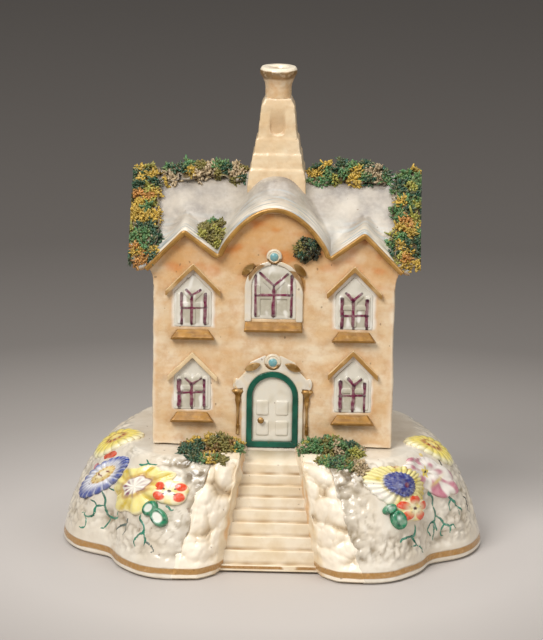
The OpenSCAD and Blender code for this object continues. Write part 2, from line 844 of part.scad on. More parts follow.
// Pair of lens-shaped gilt leaves leaning in to a rosette
spray_len = 5;
spray_bow = 2.4;
spray_t = 0.7;
module leaf_lens(side, lean) {
    rotate(-side * lean)
        intersection() {
            translate([0, spray_bow])
                circle(r = norm([spray_bow, spray_len / 2]));
            translate([0, -spray_bow])
                circle(r = norm([spray_bow, spray_len / 2]));
        }
}
module door_leaves() {
    color("goldenrod")
        for (side = [-1, 1])
            on_facade(side * 5.8, rosette_h - 1.4)
                translate([0, 0, surround_proud + slip])
                    linear_extrude(spray_t)
                        leaf_lens(side, 22);
}
module window_leaves() {
    leaf_x = middle_w / 2 + 1;
    leaf_h = middle_h - 1.4;
    color("goldenrod")
        on_facade(0, middle_z)
            linear_extrude(spray_t)
                difference() {
                    for (side = [-1, 1])
                        translate([side * leaf_x, leaf_h])
                            leaf_lens(side, 44);
                    arched(middle_w + 2 * window_band + 2 * slip, middle_h + window_band / 2 + slip);
                }
}

// Side window: a pointed panel with raised glazing bars that fork at the top
bar_proud = 0.4;
module window_bars(w, h, fork_h) {
    square_bar = bar_w;
    for (x = [-0.36, 0, 0.36])
        translate([w * x - square_bar / 2, h * 0.05])
            square([square_bar, (x == 0 ? fork_h : h * 0.62) - h * 0.05]);
    translate([-w * 0.36, h * 0.38])
        square([w * 0.72, square_bar]);
    for (side = [-1, 1])
        translate([0, fork_h - square_bar])
            rotate(-side * 45)
                translate([-square_bar / 2, 0])
                    square([square_bar, w * 0.28]);
}
module side_window(side, low) {
    color("mistyrose")
        on_facade(side * window_x, low + slip) {
            translate([0, 0, -window_recess])
                linear_extrude(window_recess)
                    pointed(window_w - 2 * slip, window_h - 2 * slip);
            translate([0, 0, -window_recess / 2])
                linear_extrude(window_recess / 2 + bar_proud)
                    window_bars(window_w, window_h, window_h * 0.58);
        }
}
module window_middle() {
    color("mistyrose")
        on_facade(0, middle_z + slip) {
            translate([0, 0, -window_recess])
                linear_extrude(window_recess)
                    arched(middle_w - 2 * slip, middle_h - 2 * slip);
            translate([0, 0, -window_recess / 2])
                linear_extrude(window_recess / 2 + bar_proud)
                    window_bars(middle_w, middle_h * 0.98, middle_h * 0.6);
        }
}

// White band round the middle window, standing on its sill
band_proud = 0.5;
window_rosette_h = middle_z + middle_h + 2.4;
window_rosette_d = rosette_d * 0.92;
module window_surround() {
    color("white")
        on_facade(0, middle_z - sill_gap + slip)
            linear_extrude(band_proud)
                difference() {
                    arched(middle_w + 2 * window_band, middle_h + sill_gap - slip + window_band / 2);
                    translate([0, sill_gap - slip])
                        arched(middle_w + 2 * slip, middle_h + slip);
                    translate([-middle_w / 2 - slip, -1])
                        square([middle_w + 2 * slip, middle_h / 2]);
                    translate([0, window_rosette_h - middle_z + sill_gap - slip])
                        circle(d = window_rosette_d + 2 * slip);
                }
}

// Gabled hood mould over a side window
lower_hood_half = window_w / 2 + 1.9;
upper_hood_half = window_w / 2 + 2.6;
hood_pitch = 1.02;
module hood(side, low, gap, half) {
    rise = half * hood_pitch;
    color("peru")
        on_facade(side * window_x, low + window_h + gap)
            linear_extrude(hood_proud)
                polygon([
                    [-half, -rise],
                    [0, 0],
                    [half, -rise],
                    [half, -rise - hood_band],
                    [0, -hood_band],
                    [-half, -rise - hood_band]
                ]);
}

// Weathered sill, wider and deeper at its foot
sill_h = 2.8;
sill_gap = 0.8;
module sill(x, low, top_w, foot_w) {
    color("goldenrod")
        translate([x, facade_y, seat_z + low - sill_gap - sill_h])
            intersection() {
                rotate([90, 0, 0])
                    linear_extrude(sill_proud)
                        polygon([[-foot_w / 2, 0], [foot_w / 2, 0], [top_w / 2, sill_h], [-top_w / 2, sill_h]]);
                rotate([90, 0, 90])
                    linear_extrude(foot_w, center = true)
                        polygon([[0, 0], [-sill_proud, 0], [-sill_proud, 0.7], [-0.4, sill_h], [0, sill_h]]);
            }
}
side_sill_top = window_w - 1.6;
side_sill_foot = window_w + 2.4;
middle_sill_top = middle_w + 2 * window_band;
middle_sill_foot = middle_w + 2 * window_band + 0.6;

// Moss: a lumpy crust laid on the roof or the plateau
function lumps(x, y) = 0.6 + 0.25 * sin(97 * x + 31 * y) + 0.2 * sin(141 * y - 53 * x);
function crust(share_x, share_y) = 0.25 + 0.75 * min(1, 4 * share_x * (1 - share_x)) * min(1, 6 * share_y * (1 - share_y));
function steps_between(from, to, parts) = [for (i = [0 : parts]) mix(from, to, i / parts)];
module moss(from, to, parts, ground, thick, tint) {
    color(tint)
        blanket(
            steps_between(from[0], to[0], parts[0]),
            steps_between(from[1], to[1], parts[1]),
            function (x, y) ground(x, y) + slip,
            function (x, y) ground(x, y) + slip
                + thick * crust((x - from[0]) / (to[0] - from[0]), (y - from[1]) / (to[1] - from[1])) * (0.5 + lumps(x, y)));
}
on_roof = function (x, y) roof_z(x, y);
on_plateau = function (x, y) base_h + parapet_proud * (1 - ease(abs(x), slot_top_half + 0.5, slot_top_half + 2.5));
verge_out = 3.2;
verge_in_x = roof_half + verge_out - verge_moss_w;
ridge_in_x = course_w / 2 + slip;
module verge_moss(side) {
    far = side * (roof_half + verge_out);
    near = side * verge_in_x;
    moss([min(far, near), roof_front], [max(far, near), house_y], [6, 18], on_roof, moss_t, "olivedrab");
}
module ridge_moss(side) {
    far = side * (verge_in_x - slip);
    near = side * ridge_in_x;
    moss([min(far, near), house_y - ridge_moss_w / 2], [max(far, near), house_y + ridge_moss_w / 2], [16, 6],
        on_roof, moss_t, "olivedrab");
}
module valley_moss() {
    moss([-valley_x - 5.5, facade_y + 0.5], [-valley_x + 1.2, facade_y + 8.5], [7, 7], on_roof, moss_t, "darkolivegreen");
}
tuft_r = 3.2;
module gable_moss() {
    color("darkolivegreen")
        on_facade(valley_x * 0.58, valley_h + 1.2)
            rotate_extrude()
                polygon([
                    [0, 0],
                    [tuft_r, 0],
                    for (w = [15 : 15 : 75]) [tuft_r * cos(w), 0.3 + 2 * sin(w)],
                    [0, 2.3]
                ]);
}
bush_out = 8.8;
bush_len = 17;
bush_d = 8.6;
bush_t = 3;
bush_gap = 1.6;
module bush(side) {
    near = side * bush_out;
    far = side * (bush_out + bush_len);
    from = [min(near, far), facade_y - slip - bush_d];
    to = [max(near, far), facade_y - bush_gap];
    moss(from, to, [12, 5], on_plateau, bush_t, "olivedrab");
}

// Blossoms: petals by angle, a hollow ring round a raised middle, cut straight where a neighbour lies
function cut_r(r, w, cut_at, cut_r) =
    let (c = cos(w - cut_at)) c > 0 ? min(r, cut_r / max(c, 0.01)) : r;
module blossom(mid, along, upward, petals, notch, middle, cut_at = 0, cut = 99, tint = "khaki") {
    color(tint)
        relief(mid,
            function (w) cut_r(
                along * upward / norm([upward * cos(w), along * sin(w)]) * (1 - notch * pow(abs(sin(petals * w / 2)), 2)),
                w, cut_at, cut),
            function (k, w) k < middle ? petal_t * 1.9 * (1 - 0.3 * k / middle)
                : petal_t * (0.7 + 0.5 * sin(180 * k) + 0.25 * cos(petals * w)));
}
module leaf_pair(mid, lean) {
    apart = leaf_spread / norm(mound_along(mid[0], mid[1])) * 180 / PI;
    for (side = [-1, 1])
        color("seagreen")
            relief([mid[0] + apart * side, mid[1]],
                function (w) leaf_len / 2 * (0.6 + 0.4 * pow(abs(cos(w - 90 + side * lean)), 2)),
                function (k, w) petal_t * (1.1 - 0.5 * k), 24, 3);
}
// Half the way between the two leaves' middles, so that they never touch
leaf_spread = leaf_len * 0.37;

// Dished pan for the pastille
module pastille_pan() {
    floor_t = 1;
    wall = 1.4;
    color("ivory")
        translate([0, house_y, seat_z])
            rotate_extrude()
                polygon([
                    [0, 0],
                    [pan_d / 2 - 1, 0],
                    [pan_d / 2, pan_h],
                    [pan_d / 2 - wall, pan_h],
                    [pan_d / 2 - wall - 1, floor_t],
                    [0, floor_t]
                ]);
}
pan_floor_z = seat_z + 1;
module pastille_cone() {
    tip_r = 1;
    color("dimgray")
        translate([0, house_y, pan_floor_z + slip])
            rotate_extrude()
                polygon([
                    [0, 0],
                    [pastille_d / 2 - 0.6, 0],
                    [pastille_d / 2, 0.8],
                    [tip_r + 0.4, pastille_h - 0.6],
                    [tip_r, pastille_h],
                    [0, pastille_h]
                ]);
}

base_mound();
seat_collar();
stair_flight();
mirror([1, 0, 0]) stair_wall();  // stair_wall_left
stair_wall();  // stair_wall_right
house_walls();
roof();
bargeboard();
chimney_stack();
chimney_pot();
door_panel();
door_knob();
door_frame();
door_surround();
door_column(-1);  // door_column_left
door_column(1);  // door_column_right
rosette(rosette_h, rosette_d);  // door_rosette
door_leaves();
rosette(window_rosette_h, window_rosette_d);  // window_rosette
window_leaves();
window_surround();
side_window(-1, lower_z);  // window_lower_left
side_window(1, lower_z);  // window_lower_right
side_window(-1, upper_z);  // window_upper_left
side_window(1, upper_z);  // window_upper_right
window_middle();
hood(-1, lower_z, hood_gap_left, lower_hood_half);  // hood_lower_left
hood(1, lower_z, hood_gap_right, lower_hood_half);  // hood_lower_right
hood(-1, upper_z, hood_gap_upper, upper_hood_half);  // hood_upper_left
hood(1, upper_z, hood_gap_upper, upper_hood_half);  // hood_upper_right
sill(-window_x, lower_z, side_sill_top, side_sill_foot);  // sill_lower_left
sill(window_x, lower_z, side_sill_top, side_sill_foot);  // sill_lower_right
sill(-window_x, upper_z, side_sill_top, side_sill_foot);  // sill_upper_left
sill(window_x, upper_z, side_sill_top, side_sill_foot);  // sill_upper_right
sill(0, middle_z, middle_sill_top, middle_sill_foot);  // sill_middle
ridge_moss(-1);  // ridge_moss_left
ridge_moss(1);  // ridge_moss_right
verge_moss(-1);  // verge_moss_left
verge_moss(1);  // verge_moss_right
valley_moss();
gable_moss();
bush(-1);  // bush_left
bush(1);  // bush_right
blossom([189.9, 0.85], yellow_r * 0.95, yellow_r, 8, 0.12, 0.5, -41, yellow_r * 0.66);  // blossom_yellow_rear_left
blossom([200.5, 0.6], blue_r, blue_r, 16, 0.08, 0.5, 139, blue_r * 0.68, "royalblue");  // blossom_blue_left
blossom([221.5, 0.64], yellow_r * 1.05, yellow_r * 0.9, 6, 0.14, 0.5, -12, yellow_r * 0.5);  // blossom_yellow_left
blossom([232.3, 0.6], orange_r, orange_r, 5, 0.2, 0.25, tint = "tomato");  // blossom_orange_left
leaf_pair([229.3, 0.432], 15);  // leaf_pair_left
blossom([316.5, 0.68], yellow_r * 1.15, yellow_r * 0.9, 14, 0.1, 0.5, -56, yellow_r * 0.5);  // blossom_aster_right
blossom([323.1, 0.49], orange_r, orange_r, 5, 0.2, 0.25, tint = "tomato");  // blossom_orange_right
leaf_pair([313.9, 0.44], -20);  // leaf_pair_right
blossom([342.1, 0.62], pink_r, pink_r, 8, 0.12, 0.3, 42, pink_r * 0.8, "pink");  // blossom_pink_right
blossom([354.5, 0.88], yellow_r * 0.9, yellow_r, 8, 0.12, 0.5, -138, yellow_r * 0.66);  // blossom_yellow_rear_right
pastille_pan();
pastille_cone();
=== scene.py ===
import math

import bpy
import numpy as np
from mathutils import Matrix, Vector, noise


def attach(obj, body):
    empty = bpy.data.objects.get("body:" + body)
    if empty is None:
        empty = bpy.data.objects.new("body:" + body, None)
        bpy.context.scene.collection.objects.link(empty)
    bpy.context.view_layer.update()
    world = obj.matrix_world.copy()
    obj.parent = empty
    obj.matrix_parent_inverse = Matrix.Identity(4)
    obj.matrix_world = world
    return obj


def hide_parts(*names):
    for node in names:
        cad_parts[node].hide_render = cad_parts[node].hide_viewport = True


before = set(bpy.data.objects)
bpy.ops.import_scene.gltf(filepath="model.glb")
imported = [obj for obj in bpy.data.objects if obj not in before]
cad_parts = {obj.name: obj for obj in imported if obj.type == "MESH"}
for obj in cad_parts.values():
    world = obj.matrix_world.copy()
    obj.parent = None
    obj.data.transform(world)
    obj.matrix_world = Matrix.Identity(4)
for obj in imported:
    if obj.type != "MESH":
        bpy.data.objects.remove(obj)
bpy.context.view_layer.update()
rng = np.random.default_rng(1840)
mm = 0.001
print("frame loaded")


# Small helpers: blends and noise over arrays of millimetre points
def mix(a, b, k):
    return a + (b - a) * k


def ease(x, low, high):
    k = np.clip((x - low) / (high - low), 0, 1)
    return k * k * (3 - 2 * k)


def bell(x, mid, width):
    return np.exp(-((x - mid) / width) ** 2)


def seedShift(seed):
    return Vector((seed * 17.3, seed * 5.1, seed * 9.7))


def noiseAt(points, size, seed):
    shift = seedShift(seed)
    flat = np.asarray(points).reshape(-1, 3)
    values = [noise.noise(Vector(p) / size + shift) for p in flat.tolist()]
    return np.array(values).reshape(np.shape(points)[:-1])


def cellsAt(points, size, seed):
    # Distances to the nearest and second nearest cell middle
    shift = seedShift(seed)
    flat = np.asarray(points).reshape(-1, 3)
    values = [noise.voronoi(Vector(p) / size + shift)[0][:2] for p in flat.tolist()]
    return np.array(values).reshape(*np.shape(points)[:-1], 2)


# Paint: sRGB hex colours turned to linear, and coats of them over arrays of points
def colour(text):
    parts = [int(text[k:k + 2], 16) / 255 for k in (1, 3, 5)]
    return np.array([c / 12.92 if c <= 0.04045 else ((c + 0.055) / 1.055) ** 2.4 for c in parts])


def rgba(text):
    return (*colour(text), 1)


def blendPaint(under, over, share):
    under, over = (colour(c) if isinstance(c, str) else c for c in (under, over))
    return under + (over - under) * np.clip(share, 0, 1)[..., None]


def layered(ground, *coats):
    for tone, share in coats:
        ground = blendPaint(ground, tone, share)
    return ground


def coat(tone, cover):
    # Colour and coverage together, as the paint mark holds them
    tone = colour(tone) if isinstance(tone, str) else tone
    shape = np.broadcast_shapes(np.shape(tone)[:-1], np.shape(cover))
    return np.concatenate([np.broadcast_to(tone, (*shape, 3)), np.broadcast_to(cover, shape)[..., None]], -1)


def layPaint(paint, tone, share, cover=1.0):
    paint[..., :3] = blendPaint(paint[..., :3], tone, share)
    paint[..., 3] = np.maximum(paint[..., 3], cover * share)


# Meshes: grids of points become smooth pieces that carry painted marks at their points
def gridFaces(rows, cols, loop=False, start=0):
    r = np.arange(rows - 1)[:, None] * cols
    c = np.arange(cols if loop else cols - 1)[None, :]
    n = (c + 1) % cols
    return (np.stack([r + c, r + n, r + cols + n, r + cols + c], -1).reshape(-1, 4) + start).tolist()


def capFaces(ring, total):
    # One face over the first ring of points and one over the last
    return [list(range(ring))[::-1], list(range(total - ring, total))]


def makePiece(name, points, faces, material, body, stands, marks):
    mesh = bpy.data.meshes.new(name)
    mesh.from_pydata((np.asarray(points).reshape(-1, 3) * mm).tolist(), [], faces)
    mesh.polygons.foreach_set("use_smooth", [True] * len(mesh.polygons))
    count = len(mesh.vertices)
    plain = {"paint": np.zeros((count, 4)), "gilt": np.zeros(count), "hollow": np.zeros(count)}
    for label, values in {**plain, **marks}.items():
        values = np.asarray(values, float)
        if values.ndim == 1:
            mesh.attributes.new(label, "FLOAT", "POINT").data.foreach_set("value", values)
        else:
            full = np.ones((len(values), 4))
            full[:, :values.shape[1]] = values
            mesh.attributes.new(label, "FLOAT_COLOR", "POINT").data.foreach_set("color", full.ravel())
    mesh.update()
    mesh.materials.append(material)
    piece = bpy.data.objects.new(name, mesh)
    bpy.context.scene.collection.objects.link(piece)
    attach(piece, body)
    if stands:
        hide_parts(*stands)


def softCopy(node, voxel, rounds):
    # The CAD node's own form with its edges melted as glaze leaves them
    work = bpy.data.objects.new("work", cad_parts[node].data.copy())
    bpy.context.scene.collection.objects.link(work)
    remesh = work.modifiers.new("remesh", "REMESH")
    remesh.mode = "VOXEL"
    remesh.voxel_size = voxel * mm
    smooth = work.modifiers.new("smooth", "SMOOTH")
    smooth.factor = 0.5
    smooth.iterations = rounds
    bpy.context.view_layer.update()
    mesh = bpy.data.meshes.new_from_object(work.evaluated_get(bpy.context.evaluated_depsgraph_get()))
    points = np.empty(len(mesh.vertices) * 3)
    normals = np.empty(len(mesh.vertices) * 3)
    mesh.vertices.foreach_get("co", points)
    mesh.vertex_normals.foreach_get("vector", normals)
    faces = [tuple(p.vertices) for p in mesh.polygons]
    old = work.data
    bpy.data.objects.remove(work)
    bpy.data.meshes.remove(old)
    bpy.data.meshes.remove(mesh)
    return points.reshape(-1, 3) / mm, faces, normals.reshape(-1, 3)


# Materials: a node with its settings, and with a value or a link for each socket named
def addNode(tree, kind, links=None, **settings):
    node = tree.nodes.new("ShaderNode" + kind)
    for key, value in settings.items():
        setattr(node, key, value)
    for socket, source in (links or {}).items():
        if isinstance(source, bpy.types.NodeSocket):
            tree.links.new(source, node.inputs[socket])
        else:
            node.inputs[socket].default_value = source
    return node


# Sizes in millimetres of the patterns that every glaze has, drawn coarse enough to show in the render
grain = {"cloud": 3.4, "streak": 1.1, "speck": 1.3, "rub": 1.6, "peel": 2.2}
glazeTones = {"speck": "#6A4A30", "darkGold": "#5E3A0E", "gold": "#A87A36"}


def glaze(name, look):
    # Glass over clay: a clear gloss with the colour below it pooled, specked, painted and gilt
    material = bpy.data.materials.new(name)
    material.use_nodes = True
    tree = material.node_tree
    shader = tree.nodes["Principled BSDF"]
    place = addNode(tree, "TexCoord").outputs["Object"]
    patch = addNode(tree, "TexNoise", {"Vector": place, "Scale": 1000 / look["patch"], "Detail": 4.0})
    spread = addNode(tree, "MapRange", {0: patch.outputs[0], 1: 0.36, 2: 0.66})
    coats = [(spread.outputs[0], rgba(look["pooled"]))]
    if "brush" in look:
        # Long strokes of a wide brush, lying along X
        stretch = addNode(tree, "Mapping", {0: place, 3: look["brushScale"]})
        stroke = addNode(tree, "TexNoise", {"Vector": stretch.outputs[0], "Scale": 1.0, "Detail": 3.0})
        share = addNode(tree, "MapRange", {0: stroke.outputs[0], 1: 0.42, 2: 0.7, 4: look["brushShare"]})
        coats.append((share.outputs[0], rgba(look["brush"])))
    if "mottle" in look:
        # Cloudy second coat, a few millimetres to each cloud
        cloud = addNode(tree, "TexNoise",
                        {"Vector": place, "Scale": 1000 / grain["cloud"], "Detail": 5.0, "Roughness": 0.6})
        share = addNode(tree, "MapRange", {0: cloud.outputs[0], 1: 0.45, 2: 0.72, 4: look["mottleShare"]})
        coats.append((share.outputs[0], rgba(look["mottle"])))
    if "hollow" in look:
        # Painted shade: a darker wash laid in the hollows of the relief
        low = addNode(tree, "Attribute", attribute_name="hollow")
        coats.append((low.outputs["Fac"], rgba(look["hollow"])))
    if look.get("painted"):
        paint = addNode(tree, "Attribute", attribute_name="paint")
        streak = addNode(tree, "TexNoise", {"Vector": place, "Scale": 1000 / grain["streak"], "Detail": 3.0})
        cover = addNode(tree, "MapRange", {0: streak.outputs[0], 1: 0.25, 2: 0.6, 3: 0.78})
        share = addNode(tree, "Math", {0: paint.outputs["Alpha"], 1: cover.outputs[0]}, operation="MULTIPLY")
        coats.append((share.outputs[0], paint.outputs["Color"]))
    # Iron specks that burn through the glaze
    speck = addNode(tree, "TexNoise", {"Vector": place, "Scale": 1000 / grain["speck"], "Detail": 0.0})
    dots = addNode(tree, "MapRange", {0: speck.outputs[0], 1: 0.835, 2: 0.86, 4: 0.5})
    coats.append((dots.outputs[0], rgba(glazeTones["speck"])))
    gloss = look["gloss"]
    rough = addNode(tree, "MapRange",
                    {0: patch.outputs[0], 1: 0.3, 2: 0.7, 3: gloss, 4: gloss + 0.1}).outputs[0]
    if look.get("gilded"):
        # Burnished gold, rubbed away in small patches
        gilt = addNode(tree, "Attribute", attribute_name="gilt")
        rub = addNode(tree, "TexNoise", {"Vector": place, "Scale": 1000 / grain["rub"], "Detail": 5.0})
        worn = addNode(tree, "MapRange", {0: rub.outputs[0], 1: 0.3, 2: 0.46, 3: 0.25})
        gold = addNode(tree, "Math", {0: gilt.outputs["Fac"], 1: worn.outputs[0]},
                       operation="MULTIPLY").outputs[0]
        dark, bright = rgba(glazeTones["darkGold"]), rgba(glazeTones["gold"])
        sheen = addNode(tree, "Mix", {0: rub.outputs[0], 6: dark, 7: bright}, data_type="RGBA")
        coats.append((gold, sheen.outputs[2]))
        rough = addNode(tree, "Mix", {0: gold, 2: rough, 3: 0.42}).outputs[0]
        shine = addNode(tree, "Math", {0: gold, 1: 0.75}, operation="MULTIPLY")
        tree.links.new(shine.outputs[0], shader.inputs["Metallic"])
    tone = rgba(look["ground"])
    for share, over in coats:
        tone = addNode(tree, "Mix", {0: share, 6: tone, 7: over}, data_type="RGBA").outputs[2]
    peel = addNode(tree, "TexNoise", {"Vector": place, "Scale": 1000 / grain["peel"], "Detail": 2.0})
    bump = addNode(tree, "Bump",
                   {"Height": peel.outputs[0], "Strength": 0.25, "Distance": look.get("peel", 0.12) * mm})
    tree.links.new(tone, shader.inputs["Base Color"])
    tree.links.new(rough, shader.inputs["Roughness"])
    tree.links.new(bump.outputs[0], shader.inputs["Normal"])
    shader.inputs["IOR"].default_value = 1.5
    return material


# Clear lead glaze on white porcelain: milky white, warmer where it pools
whiteGlaze = glaze("lead_glazed_white_porcelain", {
    "ground": "#E6DDCD", "pooled": "#D8CBB6", "patch": 9.0, "gloss": 0.14, "hollow": "#94846B",
    "mottle": "#CFC2AE", "mottleShare": 0.5, "painted": True, "gilded": True})
# The same body under a cream glaze: soft ivory steps and rocks
creamGlaze = glaze("cream_glazed_porcelain", {
    "ground": "#ECDEC6", "pooled": "#E0CBA9", "patch": 7.0, "gloss": 0.16, "hollow": "#9C7B50",
    "mottle": "#D9C3A0", "mottleShare": 0.5, "painted": True, "gilded": True})
# Peach-buff ground colour brushed on under the glaze: streaky, warmer where the brush overlapped
buffGlaze = glaze("brushed_buff_ground_under_glaze", {
    "ground": "#EBD6B6", "pooled": "#DCB98B", "patch": 8.0, "gloss": 0.2, "hollow": "#B07F4A",
    "brush": "#D6AB7A", "brushScale": (90, 90, 420), "brushShare": 0.45, "mottle": "#C8935A",
    "mottleShare": 0.6, "peel": 0.8, "painted": True, "gilded": True})
# Thin overglaze enamels on white relief: each petal holds its own painted colour
sprigEnamel = glaze("overglaze_enamel_on_white_sprigs", {
    "ground": "#F1ECE0", "pooled": "#E6DDCB", "patch": 4.0, "gloss": 0.14, "painted": True, "peel": 0.06})
# Gold leaf tone fired on at low heat: satin, brown in its shadows
giltGlaze = glaze("burnished_gilding_on_glaze", {
    "ground": "#E6C48E", "pooled": "#C99B58", "patch": 3.0, "gloss": 0.22, "painted": True, "gilded": True})
# Copper-green enamel laid thick on the door frame: glossy, dark where thick
greenEnamel = glaze("thick_copper_green_enamel", {
    "ground": "#0A4634", "pooled": "#12604A", "patch": 4.0, "gloss": 0.1, "peel": 0.1})
# Shredded clay in coloured enamels: satin strands
mossClay = glaze("shredded_clay_moss_in_enamels", {
    "ground": "#5C6428", "pooled": "#3E4A20", "patch": 3.0, "gloss": 0.3, "painted": True, "peel": 0.05})
# Pressed charcoal and gum: dead matt black-brown
charcoal = glaze("pressed_charcoal_paste", {
    "ground": "#221E1B", "pooled": "#35302A", "patch": 1.4, "gloss": 0.82, "peel": 0.5})
print("materials made")

# The mound, by the same curve as the CAD source: each swelling as its size, its compass angle and its width
seatZ = 33.2
plateauZ = 33.0
facadeY = -18.0
stairFootY = -34.0
moundForm = {"halfX": 61.5, "halfY": 42, "lobe": (6, 51, 14), "notch": (3.5, 26, 7), "straight": (64, 71),
             "plateauX": 40.0, "plateauY": 28.5, "corner": 5, "edge": 1, "rise": 32, "swell": (0.91, 1.54)}


def footRadius(a):
    s, c = np.sin(np.radians(a)), np.cos(np.radians(a))
    off = np.degrees(np.abs(np.arcsin(np.clip(s, -1, 1))))
    oval = 1 / np.sqrt((c / moundForm["halfX"]) ** 2 + (s / moundForm["halfY"]) ** 2)
    (lobe, *lobePlace), (notch, *notchPlace) = moundForm["lobe"], moundForm["notch"]
    lobed = oval + lobe * bell(off, *lobePlace) - notch * bell(off, *notchPlace)
    straight = np.abs(stairFootY / np.where(np.abs(s) < 0.05, 0.05, s))
    return mix(lobed, straight, np.where(s < 0, ease(off, *moundForm["straight"]), 0))


def plateauRadius(a):
    s, c = np.abs(np.sin(np.radians(a))), np.abs(np.cos(np.radians(a)))
    power = moundForm["corner"]
    return ((c / moundForm["plateauX"]) ** power + (s / moundForm["plateauY"]) ** power) ** (-1 / power)


def moundPoint(a, up):
    low = np.radians(90 * np.clip(up, 0, 1))
    out = np.maximum(0, np.cos(low)) ** moundForm["swell"][0]
    rise = np.sin(low) ** moundForm["swell"][1]
    r = mix(plateauRadius(a), footRadius(a), out) * np.where(up > 1, 2 - up, 1)
    z = moundForm["edge"] + moundForm["rise"] * rise + 0 * r
    return np.stack([r * np.cos(np.radians(a)), r * np.sin(np.radians(a)), z], -1)


def moundNormal(a, up):
    u = np.clip(up, 0.03, 0.985)
    along = moundPoint(a + 0.5, u) - moundPoint(a - 0.5, u)
    rise = moundPoint(a, u + 0.01) - moundPoint(a, u - 0.01)
    n = np.cross(along, rise)
    n = n / np.linalg.norm(n, axis=-1, keepdims=True)
    # Past the shoulder the surface is level
    n = mix(n, np.array([0.0, 0.0, 1.0]), ease(up, 0.95, 1.04)[..., None])
    return n / np.linalg.norm(n, axis=-1, keepdims=True)


def laidPlace(mid, p, q):
    # Compass angle and share up of a spot, p mm along and q mm up the slope from a middle
    a, up = np.array(float(mid[0])), np.array(float(mid[1]))
    along = np.linalg.norm(moundPoint(a + 0.5, up) - moundPoint(a - 0.5, up)) * 180 / math.pi
    rise = np.linalg.norm(moundPoint(a, up + 0.01) - moundPoint(a, up - 0.01)) / 0.02
    return mid[0] + np.degrees(p / along), mid[1] + q / rise


# Blossom middles as compass angle and share of the way up, with the reach kept free of rock
spots = {
    "yellowRearLeft": (189.9, 0.85, 8), "blueLeft": (200.0, 0.588, 8), "yellowLeft": (219.5, 0.60, 8.5),
    "orangeLeft": (232.4, 0.61, 5), "leafLeft": (229.0, 0.47, 4), "asterRight": (320.4, 0.66, 9),
    "orangeRight": (323.2, 0.49, 5), "leafRight": (314.8, 0.48, 4), "pinkRight": (337.0, 0.666, 7),
    "yellowRearRight": (351.0, 0.834, 7)}
spotPoints = {k: (moundPoint(np.array(v[0]), np.array(v[1])), v[2]) for k, v in spots.items()}


def rockAt(points, up):
    # Craggy relief, sunk into the smooth mound and left out under the blossoms
    folds = noiseAt(points, 7.5, 1)
    crags = 1 - 2 * np.abs(noiseAt(points, 4.6, 2))
    stones = cellsAt(points + 1.2 * folds[..., None], 2.6, 3)
    edge = ease(stones[..., 1] - stones[..., 0], 0.0, 0.45)
    depth = 0.55 * folds + 0.5 * crags + 0.4 * edge + 0.4 * noiseAt(points, 1.5, 4) - 0.7
    free = ease(points[..., 2], 4.2, 7.5) * (1 - ease(up, 0.9, 0.99))
    # The unseen back is kept shallower
    free = free * (1 - 0.5 * ease(points[..., 1], -5, 10))
    for middle, reach in spotPoints.values():
        free = free * ease(np.linalg.norm(points - middle, axis=-1), reach, reach + 3)
    return np.clip(depth, -1.5, 0.15) * free


def slotHalf(z):
    return mix(27.45, 16.7, np.clip(z / plateauZ, 0, 1))


def stairHalf(z):
    return mix(15.25, 8.5, np.clip(z / plateauZ, 0, 1))


def bedY(z):
    return mix(-28.0, -19.5, np.clip(z / 23.5, 0, 1))


def giltBand(points):
    # Hand-laid gilt line round the foot
    z = points[:, 2]
    waver = 0.22 * noiseAt(points, 9, 5) + 0.1 * noiseAt(points, 2.4, 6)
    return ease(z, 1.75 + waver, 1.95 + waver) * (1 - ease(z, 3.55 + waver, 3.8 + waver))


# Rings of the hollow inside go as inset, height and share up the outside that each follows, and the limits
# keep the crags inside the solid's box
mound = {"sides": 640, "rows": 92, "rings": 14, "limitX": 61.49, "limitY": (-42.7, 42.5), "band": "#BE9156",
         "wash": "#6E5C42", "foot": ((5, 28, 0.9), (5, 20, 0.75), (5, 8, 0), (5, 0, 0), (2.2, 0, 0),
                                     (1.1, 0.2, 0), (0.4, 0.55, 0))}


def outOfSlot(x, y, z):
    # The bed of the stairs is pressed back out of sight
    inSlot = (y < 0) & (np.abs(x) < slotHalf(z) - 0.4)
    return np.where(inSlot, np.maximum(y, bedY(z) + 0.4), y)


